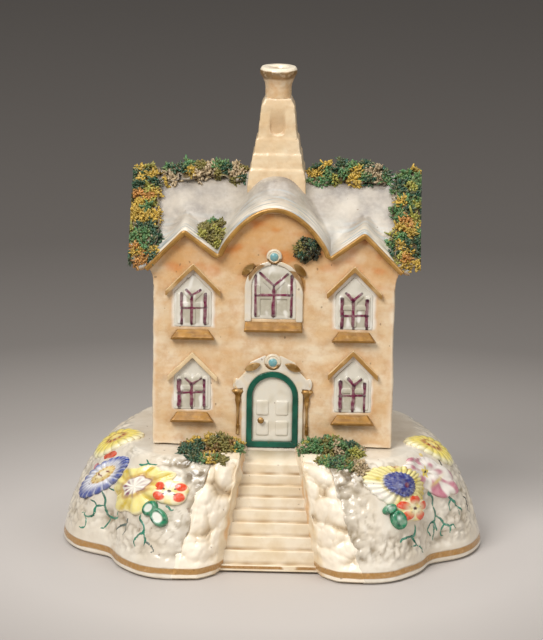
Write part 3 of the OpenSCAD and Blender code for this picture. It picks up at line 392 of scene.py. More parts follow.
def buildMound():
    sides = mound["sides"]
    angles = np.arange(sides) * 360 / sides
    ups = np.concatenate([np.linspace(0, 1, mound["rows"]), 2 - np.linspace(1, 0.004, mound["rings"])[1:]])
    a, up = np.meshgrid(angles, ups)
    outer = moundPoint(a, up)
    rock = np.zeros(a.shape)
    slope = slice(0, mound["rows"])
    rock[slope] = rockAt(outer[slope], up[slope])
    outer = outer + rock[..., None] * moundNormal(a, up)
    outer[..., 0] = np.clip(outer[..., 0], -mound["limitX"], mound["limitX"])
    outer[..., 1] = np.clip(outer[..., 1], *mound["limitY"])
    outer[..., 1] = outOfSlot(*np.moveaxis(outer, -1, 0))
    foot = []
    for inset, z, level in mound["foot"]:
        ring = moundPoint(angles, np.full(sides, level))
        flat = ring[:, :2] * (1 - inset / np.linalg.norm(ring[:, :2], axis=1, keepdims=True))
        flat[:, 1] = outOfSlot(*flat.T, z)
        foot.append(np.column_stack([flat, np.full(sides, z)]))
    below = len(foot) * sides
    points = np.concatenate([np.array(foot), outer]).reshape(-1, 3)
    faces = gridFaces(len(points) // sides, sides, loop=True) + capFaces(sides, len(points))
    x, y, z = points.T
    # Painted shade in the deep crags, beside the rock walls and in the fine cracks between the crags, as a
    # thin grey wash
    cragShade = np.concatenate([np.zeros(below), (ease(-rock, 0.3, 1.1) * 0.85).ravel()])
    shade = bell(np.abs(x) - slotHalf(z) - 1.2, 0, 1.5) * (y < -18) * ease(z, 5, 9)
    creaseShade = ease(np.abs(noiseAt(points, 2.8, 10)), 0.2, 0.0) * ease(noiseAt(points, 7, 13), -0.25, 0.2)
    creaseShade = creaseShade * ease(z, 5, 9) * (1 - ease(z, 32, 33))
    hollow = cragShade + 0.6 * shade * (0.7 + 0.8 * noiseAt(points, 3, 9)) + 0.5 * creaseShade
    # Brown wash run down from the bushes, and the tan and gilt band
    wash = bell(np.abs(x), 21.5, 5) * bell(y, -32.5, 4.5) * ease(z, 23, 28)
    cover = np.clip(1.3 * wash, 0, 0.92) * ease(noiseAt(points, 2.2, 6), -0.3, 0.2)
    paint = coat(mound["wash"], cover)
    band = giltBand(points) * (z > 0.5)
    band[:below] = 0
    layPaint(paint, mound["band"], band)
    makePiece("mound", points, faces, whiteGlaze, "base", ["base_mound"],
              {"hollow": np.clip(hollow, 0, 1), "gilt": 0.3 * band, "paint": paint})


buildMound()
print("mound built")

stairs = {"treads": 8, "tread": 1.25, "landing": (-24.0, 29.5), "footStep": 2.4, "growth": 0.42, "across": 70,
          "line": "#B0824A"}


def nosings():
    weights = [1 + stairs["growth"] * k / (stairs["treads"] - 1) for k in range(stairs["treads"])]
    done = np.cumsum([0] + weights) / sum(weights)
    y0, z0 = stairs["landing"]
    return [(y0 - k * stairs["tread"], mix(z0, stairs["footStep"], share)) for k, share in enumerate(done)]


def roundCorner(before, corner, after, radius, parts=4):
    before, corner, after = (np.array(v, float) for v in (before, corner, after))
    start = corner + (before - corner) / np.linalg.norm(before - corner) * radius
    end = corner + (after - corner) / np.linalg.norm(after - corner) * radius
    k = np.linspace(0, 1, parts + 1)[:, None]
    return (1 - k) ** 2 * start + 2 * k * (1 - k) * corner + k ** 2 * end


def buildStairs():
    tops = nosings()
    line = [(-19.5, 32.4)]
    for k in range(stairs["treads"]):
        line += [tops[k], (tops[k][0], tops[k + 1][1])]
    line += [tops[-1], (tops[-1][0], 0.8)]
    profile = [np.array([line[0]])]
    for k in range(1, len(line) - 1):
        nosing = k % 2 == 1
        profile.append(roundCorner(line[k - 1], line[k], line[k + 1], 0.34 if nosing else 0.42))
        if nosing:
            face = np.linspace(0.3, 0.7, 3) if k < len(line) - 2 else np.linspace(0.25, 0.95, 9)
            profile.append(mix(np.array(line[k]), np.array(line[k + 1]), face[:, None]))
    # The foot step's lower edge is lifted clear of the floor
    underside = np.array([line[-1], (-32.8, 0.3), (-31.0, 0.0), (-28.0, 0.0), (-19.5, 23.5)])
    profile = np.concatenate(profile + [underside])
    u = np.linspace(-1, 1, stairs["across"])
    x = stairHalf(profile[:, 1])[:, None] * u[None, :]
    y = np.repeat(profile[:, :1], len(u), 1)
    z = np.repeat(profile[:, 1:], len(u), 1)
    flat = np.stack([x, y, z], -1)
    sway = noiseAt(flat * [1, 0.3, 0.6], 6.5, 7) * 0.16 + noiseAt(flat, 2.2, 8) * 0.05
    front = np.arange(len(profile))[:, None] < len(profile) - len(underside)
    points = np.stack([x, np.where(front, y + 0.6 * sway, y), np.where(front, z + sway, z)], -1)
    rows = len(profile)
    faces = gridFaces(rows, len(u))
    last = (rows - 1) * len(u)
    faces += [[last + c, last + c + 1, c + 1, c] for c in range(len(u) - 1)]
    faces.append([r * len(u) for r in range(rows)])
    faces.append([r * len(u) + len(u) - 1 for r in range(rows)][::-1])
    # Painted shade: the inner corners of the steps are darkened
    hollow = np.zeros((rows, len(u)))
    for yTop, zTop in tops[1:]:
        gap = np.hypot(points[..., 1] - yTop - stairs["tread"], points[..., 2] - zTop)
        hollow = np.maximum(hollow, 0.9 * (1 - ease(gap, 0.15, 1.0)))
    hollow *= 0.6 + 0.6 * noiseAt(points * [0.5, 1, 1], 2.0, 12)
    points = points.reshape(-1, 3)
    z = points[:, 2]
    band = ease(z, 1.25, 1.4) * (1 - ease(z, 2.1, 2.3)) * ease(noiseAt(points, 5, 11), -0.35, -0.1)
    band = band * (points[:, 1] < -33.4)
    makePiece("stair_steps", points, faces, creamGlaze, "base", ["stair_flight"],
              {"gilt": 0.3 * band, "paint": coat(stairs["line"], band),
               "hollow": np.clip(hollow, 0, 1).ravel()})


buildStairs()

# Rocky walls beside the steps: big round boulders on the left, flat ledges on the right
sideWall = {"rows": 120, "across": 64, "splay": 1.9, "proud": 0.8, "boulder": 6.4, "pebble": 3.0,
            "stretch": {-1: (0.8, 0.9, 0.9), 1: (0.5, 0.9, 1.25)}, "rim": "#E9DECB", "stone": "#F8ECD8",
            "flank": "#D9A468"}


def angleAtX(x, up):
    low, high = np.full(x.shape, 270.0), np.full(x.shape, 345.0)
    for _ in range(22):
        mid = (low + high) / 2
        short = moundPoint(mid, up)[..., 0] < x
        low, high = np.where(short, mid, low), np.where(short, high, mid)
    return (low + high) / 2


def buildSideWall(side, name, node):
    ups = np.linspace(0, 1, sideWall["rows"])
    zs = moundPoint(np.full(len(ups), 270.0), ups)[:, 2]
    k = np.linspace(0, 1, sideWall["across"])
    upLine = np.stack([zs * 0, zs * 0, zs], -1)
    ragged = 1.1 + 0.9 * noiseAt(upLine, 4.0, 27 + side)
    x = mix(stairHalf(zs)[:, None] + 0.2, (slotHalf(zs) + ragged)[:, None], k[None, :])
    up = np.repeat(ups[:, None], len(k), 1)
    proud = sideWall["proud"] * ease(up, 0, 0.26) * (1 - 1.5 * ease(k, 0.85, 1.0))
    z = np.repeat(zs[:, None], len(k), 1)
    front = np.stack([x, moundPoint(angleAtX(x, up), up)[..., 1] - proud, z], -1)
    near = cellsAt(front * sideWall["stretch"][side], sideWall["boulder"], 20 + side)
    small = cellsAt(front, sideWall["pebble"], 26 + side)
    dome, pebble = (np.sqrt(np.clip(1 - (v[..., 0] / 0.8) ** 2, 0, 1)) for v in (near, small))
    lumps = 0.35 * noiseAt(front, 5.0, 22 + side) + 0.18 * noiseAt(front, 1.6, 24)
    free = ease(z, 3.9, 6.5) * ease(k, 0.0, 0.08)[None, :] * (1 - 0.5 * ease(k, 0.92, 1.0))[None, :]
    sink = (2.6 * (1 - dome) + 0.7 * (1 - pebble) - 0.1 - lumps) * free
    front[..., 1] += 0.85 * np.clip(sink, -0.5, 3.0)
    front[..., 2] -= 0.45 * np.clip(sink, -0.5, 3.0) * ease(z, 6, 9)
    # The edge beside the steps wanders and is rounded over
    stray = 0.7 * noiseAt(upLine, 3.2, 29 + side) * ease(zs, 4, 7)
    front[..., 0] += stray[:, None] * (1 - ease(k, 0, 0.4))[None, :]
    front[..., 1] += 1.0 * np.clip(1 - k / 0.12, 0, 1)[None, :] ** 2 * ease(z, 4, 7)
    # Flanks: a splayed inner face towards the steps and a short outer one
    tops = np.array(nosings())[::-1]
    landingY, landingZ = stairs["landing"]
    stepY = np.interp(zs[::-1], tops[:, 1], tops[:, 0])[::-1]
    stepY = np.where(zs > landingZ, mix(landingY, -19.5, np.clip((zs - landingZ) / 2.9, 0, 1)), stepY)
    edgeX, edgeY = front[:, 0, 0], front[:, 0, 1]
    columns = [np.stack([edgeX - sideWall["splay"], bedY(zs) + 0.2, zs], -1)]
    for share in np.linspace(0, 1, 10)[:-1]:
        depth = np.maximum(mix(stepY + 1.2, edgeY, share), edgeY)
        columns.append(np.stack([edgeX - sideWall["splay"] * (1 - share), depth, zs], -1))
    flank = len(columns)
    stones = slice(flank, flank + len(k))
    outer = np.stack([front[:, -1, 0] + 0.1, front[:, -1, 1] + 2.6, zs], -1)[:, None]
    outerBack = np.stack([front[:, -1, 0] - 0.6, bedY(zs) + 0.2, zs], -1)[:, None]
    rings = np.concatenate([np.stack(columns, 1), front, outer, outerBack], 1)
    # The top draws together over the plateau
    top = rings[-1].copy()
    top[:, 2] = plateauZ + 0.75
    top[:, 1] = np.maximum(top[:, 1] + 0.9, rings[-1][:, 1])
    foot = rings[0].copy()
    foot[:, 2] = 0
    foot[:, 1] = np.where(foot[:, 1] < -30, foot[:, 1] + 1.6, foot[:, 1])
    rings = np.concatenate([foot[None], rings, top[None]])
    count = rings.shape[1]
    rings[..., 0] *= side
    points = rings.reshape(-1, 3)
    faces = gridFaces(len(rings), count, loop=True) + capFaces(count, len(points))
    if side < 0:
        faces = [f[::-1] for f in faces]
    # Painted shade in the sinks between the boulders
    hollow = np.zeros(rings.shape[:2])
    hollow[1:-1, stones] = ease(sink, 0.9, 2.2) * 0.4
    # The outer rocks turn white like the mound, and peach ground colour is brushed down beside the steps
    paint = coat(sideWall["rim"], np.zeros(rings.shape[:2]))
    paint[:, stones.stop:, 3] = 0.95
    shown = 0.9 * (1 - ease(sink, 0.4, 1.6)) * ease(k, 0.02, 0.12)[None, :]
    paint[1:-1, stones] = coat(sideWall["stone"], shown)
    brushed = 0.75 * ease(noiseAt(rings[:, :flank + 1] * [1, 1, 0.5], 2.6, 28), -0.1, 0.4)
    paint[:, :flank + 1] = coat(sideWall["flank"], brushed)
    # The tan band runs on across the foot
    paint = paint.reshape(-1, 4)
    band = giltBand(points) * (points[:, 1] < -32)
    layPaint(paint, mound["band"], band)
    makePiece(name, points, faces, creamGlaze, "base", [node],
              {"gilt": 0.3 * band, "paint": paint, "hollow": hollow.ravel()})


buildSideWall(-1, "stair_rocks_left", "stair_wall_left")
buildSideWall(1, "stair_rocks_right", "stair_wall_right")
print("stairs built")

# Two gilt crescents brushed over the shoulders of the middle window: middle, half length and half width, lean
crescents = [((-5.7, 52.2), (3.4, 0.95), 46), ((7.3, 50.2), (4.6, 1.1), -47)]
crescentGold = "#A06E2A"


def crescentShare(x, h):
    share = np.zeros(x.shape)
    for (mx, mh), (long, wide), lean in crescents:
        c, t = math.cos(math.radians(lean)), math.sin(math.radians(lean))
        along, across = (x - mx) * c + (h - mh) * t, (h - mh) * c - (x - mx) * t
        bowed = across + 0.12 * along ** 2
        share = np.maximum(share, 1 - ease(np.hypot(along / long, bowed / wide), 0.8, 1.05))
    return share


# House walls: melted corners, brushed ground colour, a warm wash under the gables, and a white field
# round each side window as its middle, foot, point and half width
walls = {"warm": ("#D3974F", "#D17F38"), "thin": "#F3E6CF", "white": "#EEE7DA", "inside": "#E9E2D4",
         "fields": ((-23, 10.8, 27.2, 6.6), (23, 10.8, 28.6, 6.6), (-23, 35.3, 53.2, 7), (23, 35.3, 53.2, 7))}


def buildWalls():
    points, faces, normals = softCopy("house_walls", 0.45, 6)
    sway = 0.25 * noiseAt(points, 15, 30) + 0.14 * noiseAt(points, 4.5, 31) + 0.05 * noiseAt(points, 1.8, 34)
    points = points + normals * (sway - 0.15)[:, None]
    x, y, z = points.T
    h = z - seatZ
    front = ease(-y, 16.5, 17.5)
    warm = ease(h + 7 * noiseAt(points, 9, 32), 42, 62) * front
    mottled = ease(noiseAt(points * [1, 1, 1.6], 5, 33), -0.05, 0.5)
    paint = coat(blendPaint(*walls["warm"], mottled), warm * (0.6 + 0.35 * mottled))
    # Pale corners and foot, where the glaze draws thin
    corner = ease(np.abs(x) + 1.2 * noiseAt(points, 4, 35), 32.2, 34.6) * (1 - ease(y, -16.5, -14))
    edge = np.maximum(corner, 1 - ease(h + noiseAt(points, 5, 36), 0.3, 2.4)) * (1 - ease(h, 44, 50))
    layPaint(paint, walls["thin"], edge, 0.6)
    for middle, foot, top, half in walls["fields"]:
        across = np.abs(x - middle) + 0.5 * noiseAt(points, 3, 37)
        inField = (1 - ease(across, half - 1.5, half)) * (1 - ease(h + across * 1.02, top - 1.2, top - 0.6))
        inField *= ease(h + 0.5 * noiseAt(points, 2.5, 38), foot - 1.0, foot + 0.2) * front
        layPaint(paint, walls["white"], inField, 0.92)
    layPaint(paint, crescentGold, 0.9 * crescentShare(x, h) * front)
    inside = (np.abs(x) < 32.5) & (y > -15.5) & (y < 21.5)
    paint[inside] = [*colour(walls["inside"]), 0.8]
    makePiece("cottage_walls", points, faces, buffGlaze, "house", ["house_walls"],
              {"paint": paint})


buildWalls()
print("walls built")

# Roof: a main slope, and a wavy front edge of an arch between two gables, with heights over the wall foot
roof = {"half": 38.5, "front": -19.2, "back": 25.2, "ridge": 109.8, "ridgeY": 3, "slope": 22 / 21,
        "thick": 2.0, "tilt": 10.0, "valleyX": 16, "valley": 57.4, "arch": 13.7, "gableX": 25.7,
        "gable": 64.6, "fall": 1.02, "flue": 2.2}


def waveEdge(x):
    ax = np.abs(x)
    valleyX, valley, gableX = roof["valleyX"], roof["valley"], roof["gableX"]
    bow = np.maximum(0, np.cos(np.radians(90 * np.minimum(ax, valleyX) / valleyX)))
    arch = valley + roof["arch"] * bow ** 0.75
    rise = mix(valley, roof["gable"], (ax - valleyX) / (gableX - valleyX))
    fall = roof["gable"] - roof["fall"] * (ax - gableX)
    k = np.clip(0.5 + 0.5 * (fall - rise) / 2, 0, 1)
    gable = mix(fall, rise, k) - 2 * k * (1 - k)
    return np.where(ax < valleyX, arch, gable)


def waveTop(x, y):
    return seatZ + waveEdge(x) + math.tan(math.radians(roof["tilt"])) * (y - facadeY)


def roofTop(x, y):
    main = roof["ridge"] + 0.3 - roof["slope"] * np.sqrt((y - roof["ridgeY"]) ** 2 + 0.5)
    wave = waveTop(x, y) - np.maximum(0, y - 1) * 3
    k = np.clip(0.5 + 0.5 * (main - wave) / 2.4, 0, 1)
    # Slip fills the corner where the arch runs up to the chimney's foot
    swell = 3.0 * np.exp(-(x / 8.6) ** 4) * ease(y, -13, -5) * (1 - ease(y, 6, 9))
    return np.minimum(mix(wave, main, k) + 2.4 * k * (1 - k) + swell, roof["ridge"])


def buildRoof():
    xs = np.linspace(-roof["half"], roof["half"], 231)
    ys = np.concatenate([np.linspace(roof["front"], -10, 40), np.linspace(-9.6, roof["back"], 72)])
    x, y = np.meshgrid(xs, ys)
    smooth = roofTop(x, y)
    flat = np.stack([x, y, smooth], -1)
    z = smooth + 0.18 * noiseAt(flat, 9, 40) + 0.06 * noiseAt(flat, 3, 41)
    lip = 1 - ease(y, roof["front"], roof["front"] + 1.1)
    verge = ease(np.abs(x), roof["half"] - 0.9, roof["half"])
    eave = ease(y, roof["back"] - 0.9, roof["back"])
    top = np.stack([x, y, z - 0.55 * lip ** 2 - 0.5 * verge ** 2 - 0.5 * eave ** 2], -1)
    under = np.stack([x, y, smooth - roof["thick"]], -1)
    rows, cols = x.shape
    count = rows * cols
    points = np.concatenate([top.reshape(-1, 3), under.reshape(-1, 3)])
    # Both skins, open over the flue and joined round the rim
    upper = gridFaces(rows, cols)
    lower = [[i + count for i in f[::-1]] for f in upper]
    middle = np.array([points[f].mean(0) for f in upper])
    flue = np.hypot(middle[:, 0], middle[:, 1] - roof["ridgeY"]) < roof["flue"]
    faces = [f for f, gone in zip(upper + lower, np.concatenate([flue, flue])) if not gone]
    rim = list(range(cols)) + [r * cols + cols - 1 for r in range(1, rows)]
    rim += [(rows - 1) * cols + c for c in range(cols - 2, -1, -1)]
    rim += [r * cols for r in range(rows - 2, 0, -1)]
    faces += [[rim[i], rim[i - 1], rim[i - 1] + count, rim[i] + count] for i in range(len(rim))]
    # Grey-beige wash near the ridge, strokes of pale blue along the front edges
    px, py = points[:, 0], points[:, 1]
    fromEdge = py - roof["front"]
    onTop = np.arange(len(points)) < count
    strokes = noiseAt(np.column_stack([px * 0.12, fromEdge * 1.3, px * 0]), 1.0, 42)
    fine = noiseAt(np.column_stack([px * 0.2, fromEdge * 3.0, px * 0]), 1.0, 43)
    wash = ease(fromEdge + 5 * noiseAt(points, 10, 44), 2, 11) * (0.85 + 0.4 * noiseAt(points, 6, 45))
    blue = (1 - ease(fromEdge, 5, 14)) * ease(strokes + 0.5 * fine, 0.0, 0.45)
    line = (1 - ease(fromEdge, 6, 13)) * ease(fine, 0.28, 0.5)
    cloudy = ease(noiseAt(points, 5, 46) + 0.5 * noiseAt(points, 1.8, 47), -0.3, 0.5)
    # Painted shade: a darker grey band down each valley between the arch and the gables
    valley = bell(np.abs(px), roof["valleyX"], 2.6) * (1 - ease(fromEdge, 7, 15))
    rgb = layered("#A2978A", ("#8B8279", cloudy), ("#9FA9AC", blue), ("#5F6665", 0.7 * line),
                  ("#85827C", 0.8 * valley))
    paint = coat(rgb, np.max([0.97 * wash, 0.85 * blue, 0.75 * line, 0.8 * valley], 0) * onTop)
    # The face of the front edge takes the wall's colour
    layPaint(paint, "#D9A868", (1 - ease(fromEdge, 0.0, 0.05)) * ~onTop, 0.9)
    makePiece("cottage_roof", points, faces, whiteGlaze, "house", ["roof"],
              {"paint": paint})


buildRoof()

# Gilt moulding along the wavy edge: a rounded strip square to the wave
moulding = {"half": 37.0, "y": -19.75, "width": 1.45, "drop": 0.15, "parts": 420, "round": 14,
            "tone": "#B8873C"}


def buildMoulding():
    xs = np.linspace(-moulding["half"], moulding["half"], 3000)
    zs = waveTop(xs, -19.8)
    run = np.concatenate([[0], np.cumsum(np.hypot(np.diff(xs), np.diff(zs)))])
    at = np.linspace(0, run[-1], moulding["parts"])
    x, z = np.interp(at, run, xs), np.interp(at, run, zs)
    tx, tz = np.gradient(x), np.gradient(z)
    length = np.hypot(tx, tz)
    nx, nz = -tz / length, tx / length
    path = np.column_stack([x, x * 0, z])
    width = moulding["width"] + 0.2 * noiseAt(path, 7, 50)
    turn = np.linspace(0, 2 * math.pi, moulding["round"], endpoint=False)
    across = 0.5 + 0.5 * np.cos(turn)[None, :]
    depth = moulding["y"] - 0.5 * np.sin(turn)[None, :] + 0.05 * noiseAt(path, 3, 51)[:, None]
    drop = moulding["drop"] + across * width[:, None]
    points = np.stack([x[:, None] - nx[:, None] * drop, depth, z[:, None] - nz[:, None] * drop], -1)
    points = points.reshape(-1, 3)
    faces = gridFaces(len(at), len(turn), loop=True) + capFaces(len(turn), len(points))
    gilt = np.repeat((0.75 + 0.6 * noiseAt(path, 4, 52))[:, None], len(turn), 1)
    makePiece("gilt_moulding", points, faces, giltGlaze, "house", ["bargeboard"],
              {"gilt": 0.6 * np.clip(gilt, 0, 1).ravel(),
               "paint": coat(moulding["tone"], np.full(len(points), 0.9))})


buildMoulding()
print("roof built")


# Pieces that keep the CAD form, softened, with paint by place: paintBy may also move the points
def softPiece(node, name, material, body, slot, voxel, rounds, wobble, paintBy=None):
    points, faces, normals = softCopy(node, voxel, rounds)
    points = points + normals * (wobble * noiseAt(points, 2.5, 60))[:, None]
    marks = paintBy(points, normals) if paintBy else {}
    makePiece(name, points, faces, material, body, [node], marks)


def paintChimney(points, normals):
    across, y = np.abs(points[:, 0]), points[:, 1]
    h = points[:, 2].copy()
    # Its foot runs into the roof
    points[:, 2] -= 0.6 * (1 - ease(h - roofTop(points[:, 0], y), 0.2, 1.4))
    # The niche fades out upwards; painted shade darkens it towards its round end, and the same darker wash
    # lies in random blotches
    levels = np.arange(118, 134, 0.5)
    face = []
    for level in levels:
        near = (across > 2.7) & (across < 3.3) & (y < 0) & (np.abs(h - level) < 0.5)
        face.append(y[near].mean() if near.any() else -3.0)
    sunk = np.clip(y - np.interp(h, levels, face), 0, 1.6) * (across < 2.6) * (y < 1)
    points[:, 1] -= sunk * ease(h, 123.5, 129.5) * (h < 132)
    nicheShade = (1 - ease(across, 1.7, 2.3)) * ease(h, 121, 121.8) * (1 - ease(h, 125, 131)) * (y < 0)
    hollow = np.clip(0.6 * nicheShade + 0.25 * ease(noiseAt(points, 3, 61), 0.2, 0.6), 0, 1)
    # Painted light: faces turned upwards are painted paler, over a pale coat on the whole stack
    light = ease(normals[:, 2], 0.35, 0.9)
    tone = blendPaint("#E6CFA9", "#F0E0C4", light)
    return {"hollow": hollow, "paint": coat(tone, np.maximum(0.8 * light, 0.45))}


def paintPot(points, normals):
    # The pot's foot runs into the shoulder below it, and its rim stays inside the solid's box
    points[:, 2] = np.minimum(points[:, 2] - 0.5 * (1 - ease(points[:, 2], 131.8, 132.8)), 140.38)
    h = points[:, 2] + 0.2 * noiseAt(points, 2, 62)
    # Painted highlight: the top lip of the rim is painted pale cream above the gilt
    lip = ease(h, 139.4, 139.8)
    return {"gilt": 0.75 * ease(h, 136.9, 137.6) * (1 - lip), "paint": coat("#EFE3CC", 0.9 * lip)}


def allGilt(points, normals):
    return {"gilt": np.clip(0.8 + 0.5 * noiseAt(points, 2.2, 63), 0, 1)}


def hoodPaint(share):
    # A gilt line along the front, rubbed away by share, under a pale upper edge: the upward faces are painted
    # pale buff, partly the ungilt edge and partly a painted highlight
    def paintBy(points, normals):
        points += normals * [0.08, 0, 0.08]
        worn = np.clip(share + 0.5 * noiseAt(points, 3.0, 64), 0, 1)
        band = 1 - ease(normals[:, 2] + 0.25 * noiseAt(points, 1.6, 67), 0.35, 0.7)
        tone = blendPaint("#E6CDA4", "#B98A48", band * worn)
        return {"gilt": 0.35 * band * worn, "paint": coat(tone, 0.95)}
    return paintBy


def paintSill(points, normals):
    # Painted light: faces turned upwards are painted paler and take less gilt, and painted shade darkens the
    # faces turned downwards
    top, under = ease(normals[:, 2], 0.75, 0.95), ease(-normals[:, 2], 0.1, 0.6)
    streak = ease(noiseAt(points * [0.25, 1, 2], 1.2, 65), -0.15, 0.35)
    rgb = layered("#8A5E28", ("#B98C4A", streak), ("#CFAA6C", 0.7 * top), ("#6E4A1E", 0.8 * under))
    return {"gilt": np.clip((1 - 0.6 * top) * (0.45 + 0.4 * streak), 0, 1), "paint": coat(rgb, 0.9)}


def paintColumn(points, normals):
    marks = allGilt(points, normals)
    # A waisted shaft that flares to its capital
    middle = (points[:, 0].min() + points[:, 0].max()) / 2
    flare = 1 + 0.6 * ease(points[:, 2] - seatZ, 14.2, 16.6) - 0.15 * bell(points[:, 2] - seatZ, 8, 4)
    points[:, 0] = middle + (points[:, 0] - middle) * flare
    return marks


def paintSurround(points, normals):
    side = 1 - ease(-normals[:, 1], 0.2, 0.8)
    points += normals * [0.25, 0, 0.25]
    # Its ends and ears take the wall's colour in patches
    ear = ease(np.abs(points[:, 0]), 9.2, 10.4) * (points[:, 2] < 70)
    patch = ease(noiseAt(points, 2.4, 68), -0.15, 0.4)
    cover = np.clip(0.85 * side + 0.45 * patch + 0.7 * ear * patch, 0, 1)
    paint = coat(blendPaint("#E0C9A2", "#D9B98A", ear), cover)
    points += normals * (0.22 * ear * noiseAt(points, 1.5, 59))[:, None]
    reach = np.abs(points[:, 0])
    points[:, 0] = np.sign(points[:, 0]) * np.minimum(reach, 10.2 + 0.5 * (reach - 10.2))
    gold = 0.9 * crescentShare(points[:, 0], points[:, 2] - seatZ)
    layPaint(paint, crescentGold, gold)
    return {"paint": paint, "gilt": 0.4 * gold}


def paintDoor(points, normals):
    tone = blendPaint("#DFD8C8", "#CFC6B2", ease(noiseAt(points, 3, 69), 0, 0.5))
    points += normals * [0.3, 0, 0.3]
    return {"paint": coat(tone, 0.9)}


def rosettePaint(h):
    # A turquoise boss in a pale ring, gilt along its lower half
    def paintBy(points, normals):
        r = np.hypot(points[:, 0], points[:, 2] - seatZ - h) + 0.08 * noiseAt(points, 1.0, 66)
        low = ease(seatZ + h - points[:, 2], 0.2, 0.9)
        tone = blendPaint("#DDD0B8", "#6FA5A9", 1 - ease(r, 1.1, 1.3))
        return {"paint": coat(tone, 1.0), "gilt": ease(r, 1.45, 1.6) * low * 0.9}
    return paintBy


# Melting of each piece: voxel in millimetres, rounds of smoothing, wobble
hoodMelt, sillMelt, giltMelt = (0.16, 6, 0.1), (0.16, 6, 0.06), (0.11, 5, 0.05)
columnMelt, bandMelt, bossMelt = (0.12, 3, 0.05), (0.14, 10, 0.1), (0.11, 3, 0.02)
windowMelt = (0.15, 9, 0.02)
hoodGilt = {"lower_left": 0.15, "lower_right": 1.0, "upper_left": 0.85, "upper_right": 0.95}
buff, white = (buffGlaze, "house", "glazed_porcelain_buff"), (whiteGlaze, "house", "glazed_porcelain_white")
gilding = (giltGlaze, "house", "gilding")
softPiece("chimney_stack", "chimney_stack_glazed", *buff, 0.25, 14, 0.12, paintChimney)
softPiece("chimney_pot", "chimney_pot_glazed", *buff, 0.2, 6, 0.08, paintPot)
for where, share in hoodGilt.items():
    softPiece("hood_" + where, "hood_mould_" + where, giltGlaze, "house", "glazed_porcelain_buff", *hoodMelt,
              hoodPaint(share))
    softPiece("sill_" + where, "gilt_sill_" + where, *gilding, *sillMelt, paintSill)
softPiece("sill_middle", "gilt_sill_middle", *gilding, *sillMelt, paintSill)
for where in ("left", "right"):
    softPiece("door_column_" + where, "gilt_column_" + where, *gilding, *columnMelt, paintColumn)
for where in ("door", "window"):
    softPiece(where + "_leaves", "gilt_leaves_" + where, *gilding, *giltMelt, allGilt)
softPiece("door_knob", "gilt_knob", *gilding, 0.1, 4, 0.02, allGilt)
softPiece("door_frame", "green_door_frame", greenEnamel, "house", "green_enamel", 0.15, 5, 0.05)
softPiece("door_surround", "white_door_surround", *white, *bandMelt, paintSurround)
softPiece("window_surround", "white_window_band", *white, *bandMelt, paintSurround)
softPiece("door_panel", "door_leaf", creamGlaze, "house", "white_enamel", 0.14, 22, 0.05, paintDoor)
softPiece("seat_collar", "seat_collar_glazed", whiteGlaze, "base", "glazed_porcelain_white", 0.3, 4, 0.05)
softPiece("pastille_pan", "pastille_dish", whiteGlaze, "base", "glazed_porcelain_white", 0.25, 5, 0.05)
softPiece("pastille_cone", "scented_pastille", charcoal, "pastille", "charcoal_paste", 0.25, 4, 0.12)
for where, h in (("door", 25.3), ("window", 56.2)):
    softPiece(where + "_rosette", "rosette_" + where, giltGlaze, "house", "turquoise_enamel", *bossMelt,
              rosettePaint(h))
print("facade built")

# Window panels: grey-olive panes with maroon glazing bars drawn by brush. Each bar runs between two points
# as millimetres from the window's middle and height over the wall foot: sides, post, rail, two slants
windows = {
    "lower_left": {"middle": -23.0, "bars": [
        ((-3.8, 19.5), (-3.7, 11.0)), ((3.4, 19.5), (3.5, 11.0)), ((-0.2, 18.3), (-0.1, 11.2)),
        ((-3.8, 15.6), (3.5, 15.9)), ((-0.2, 18.3), (-1.9, 19.9)), ((-0.2, 18.3), (2.5, 19.9))]},
    "lower_right": {"middle": 23.0, "bars": [
        ((-3.6, 19.8), (-3.6, 10.9)), ((3.4, 19.4), (3.4, 11.2)), ((0.2, 18.9), (0.0, 11.0)),
        ((-3.6, 15.6), (3.4, 15.8)), ((0.3, 18.9), (-1.4, 20.7)), ((0.3, 18.9), (2.3, 20.5))]},
    "upper_left": {"middle": -23.0, "bars": [
        ((-3.3, 44.9), (-3.2, 36.0)), ((3.6, 44.9), (3.5, 36.0)), ((-0.3, 44.3), (-0.4, 36.0)),
        ((-3.3, 40.6), (3.6, 40.9)), ((-0.3, 44.3), (-1.9, 45.9)), ((-0.3, 44.3), (2.1, 45.9))]},
    "upper_right": {"middle": 23.0, "bars": [
        ((-3.6, 44.3), (-3.5, 35.6)), ((3.7, 44.0), (3.6, 35.6)), ((-0.3, 43.7), (-0.2, 35.6)),
        ((-3.6, 39.2), (3.7, 39.4)), ((-0.3, 43.7), (-2.3, 45.8)), ((-0.3, 43.7), (2.0, 45.8))]},
    "middle": {"middle": 0.0, "bars": [
        ((-5.2, 50.5), (-5.1, 38.7)), ((5.1, 50.5), (5.0, 38.7)), ((0.0, 47.6), (0.0, 38.7)),
        ((-5.2, 44.8), (5.1, 45.0)), ((0.0, 47.6), (-4.0, 51.3)), ((0.0, 47.6), (3.9, 51.1))]}}


def segmentGap(x, h, ends):
    (x0, h0), (x1, h1) = ends
    dx, dh = x1 - x0, h1 - h0
    k = np.clip(((x - x0) * dx + (h - h0) * dh) / (dx * dx + dh * dh), 0, 1)
    return np.hypot(x - x0 - k * dx, h - h0 - k * dh), k


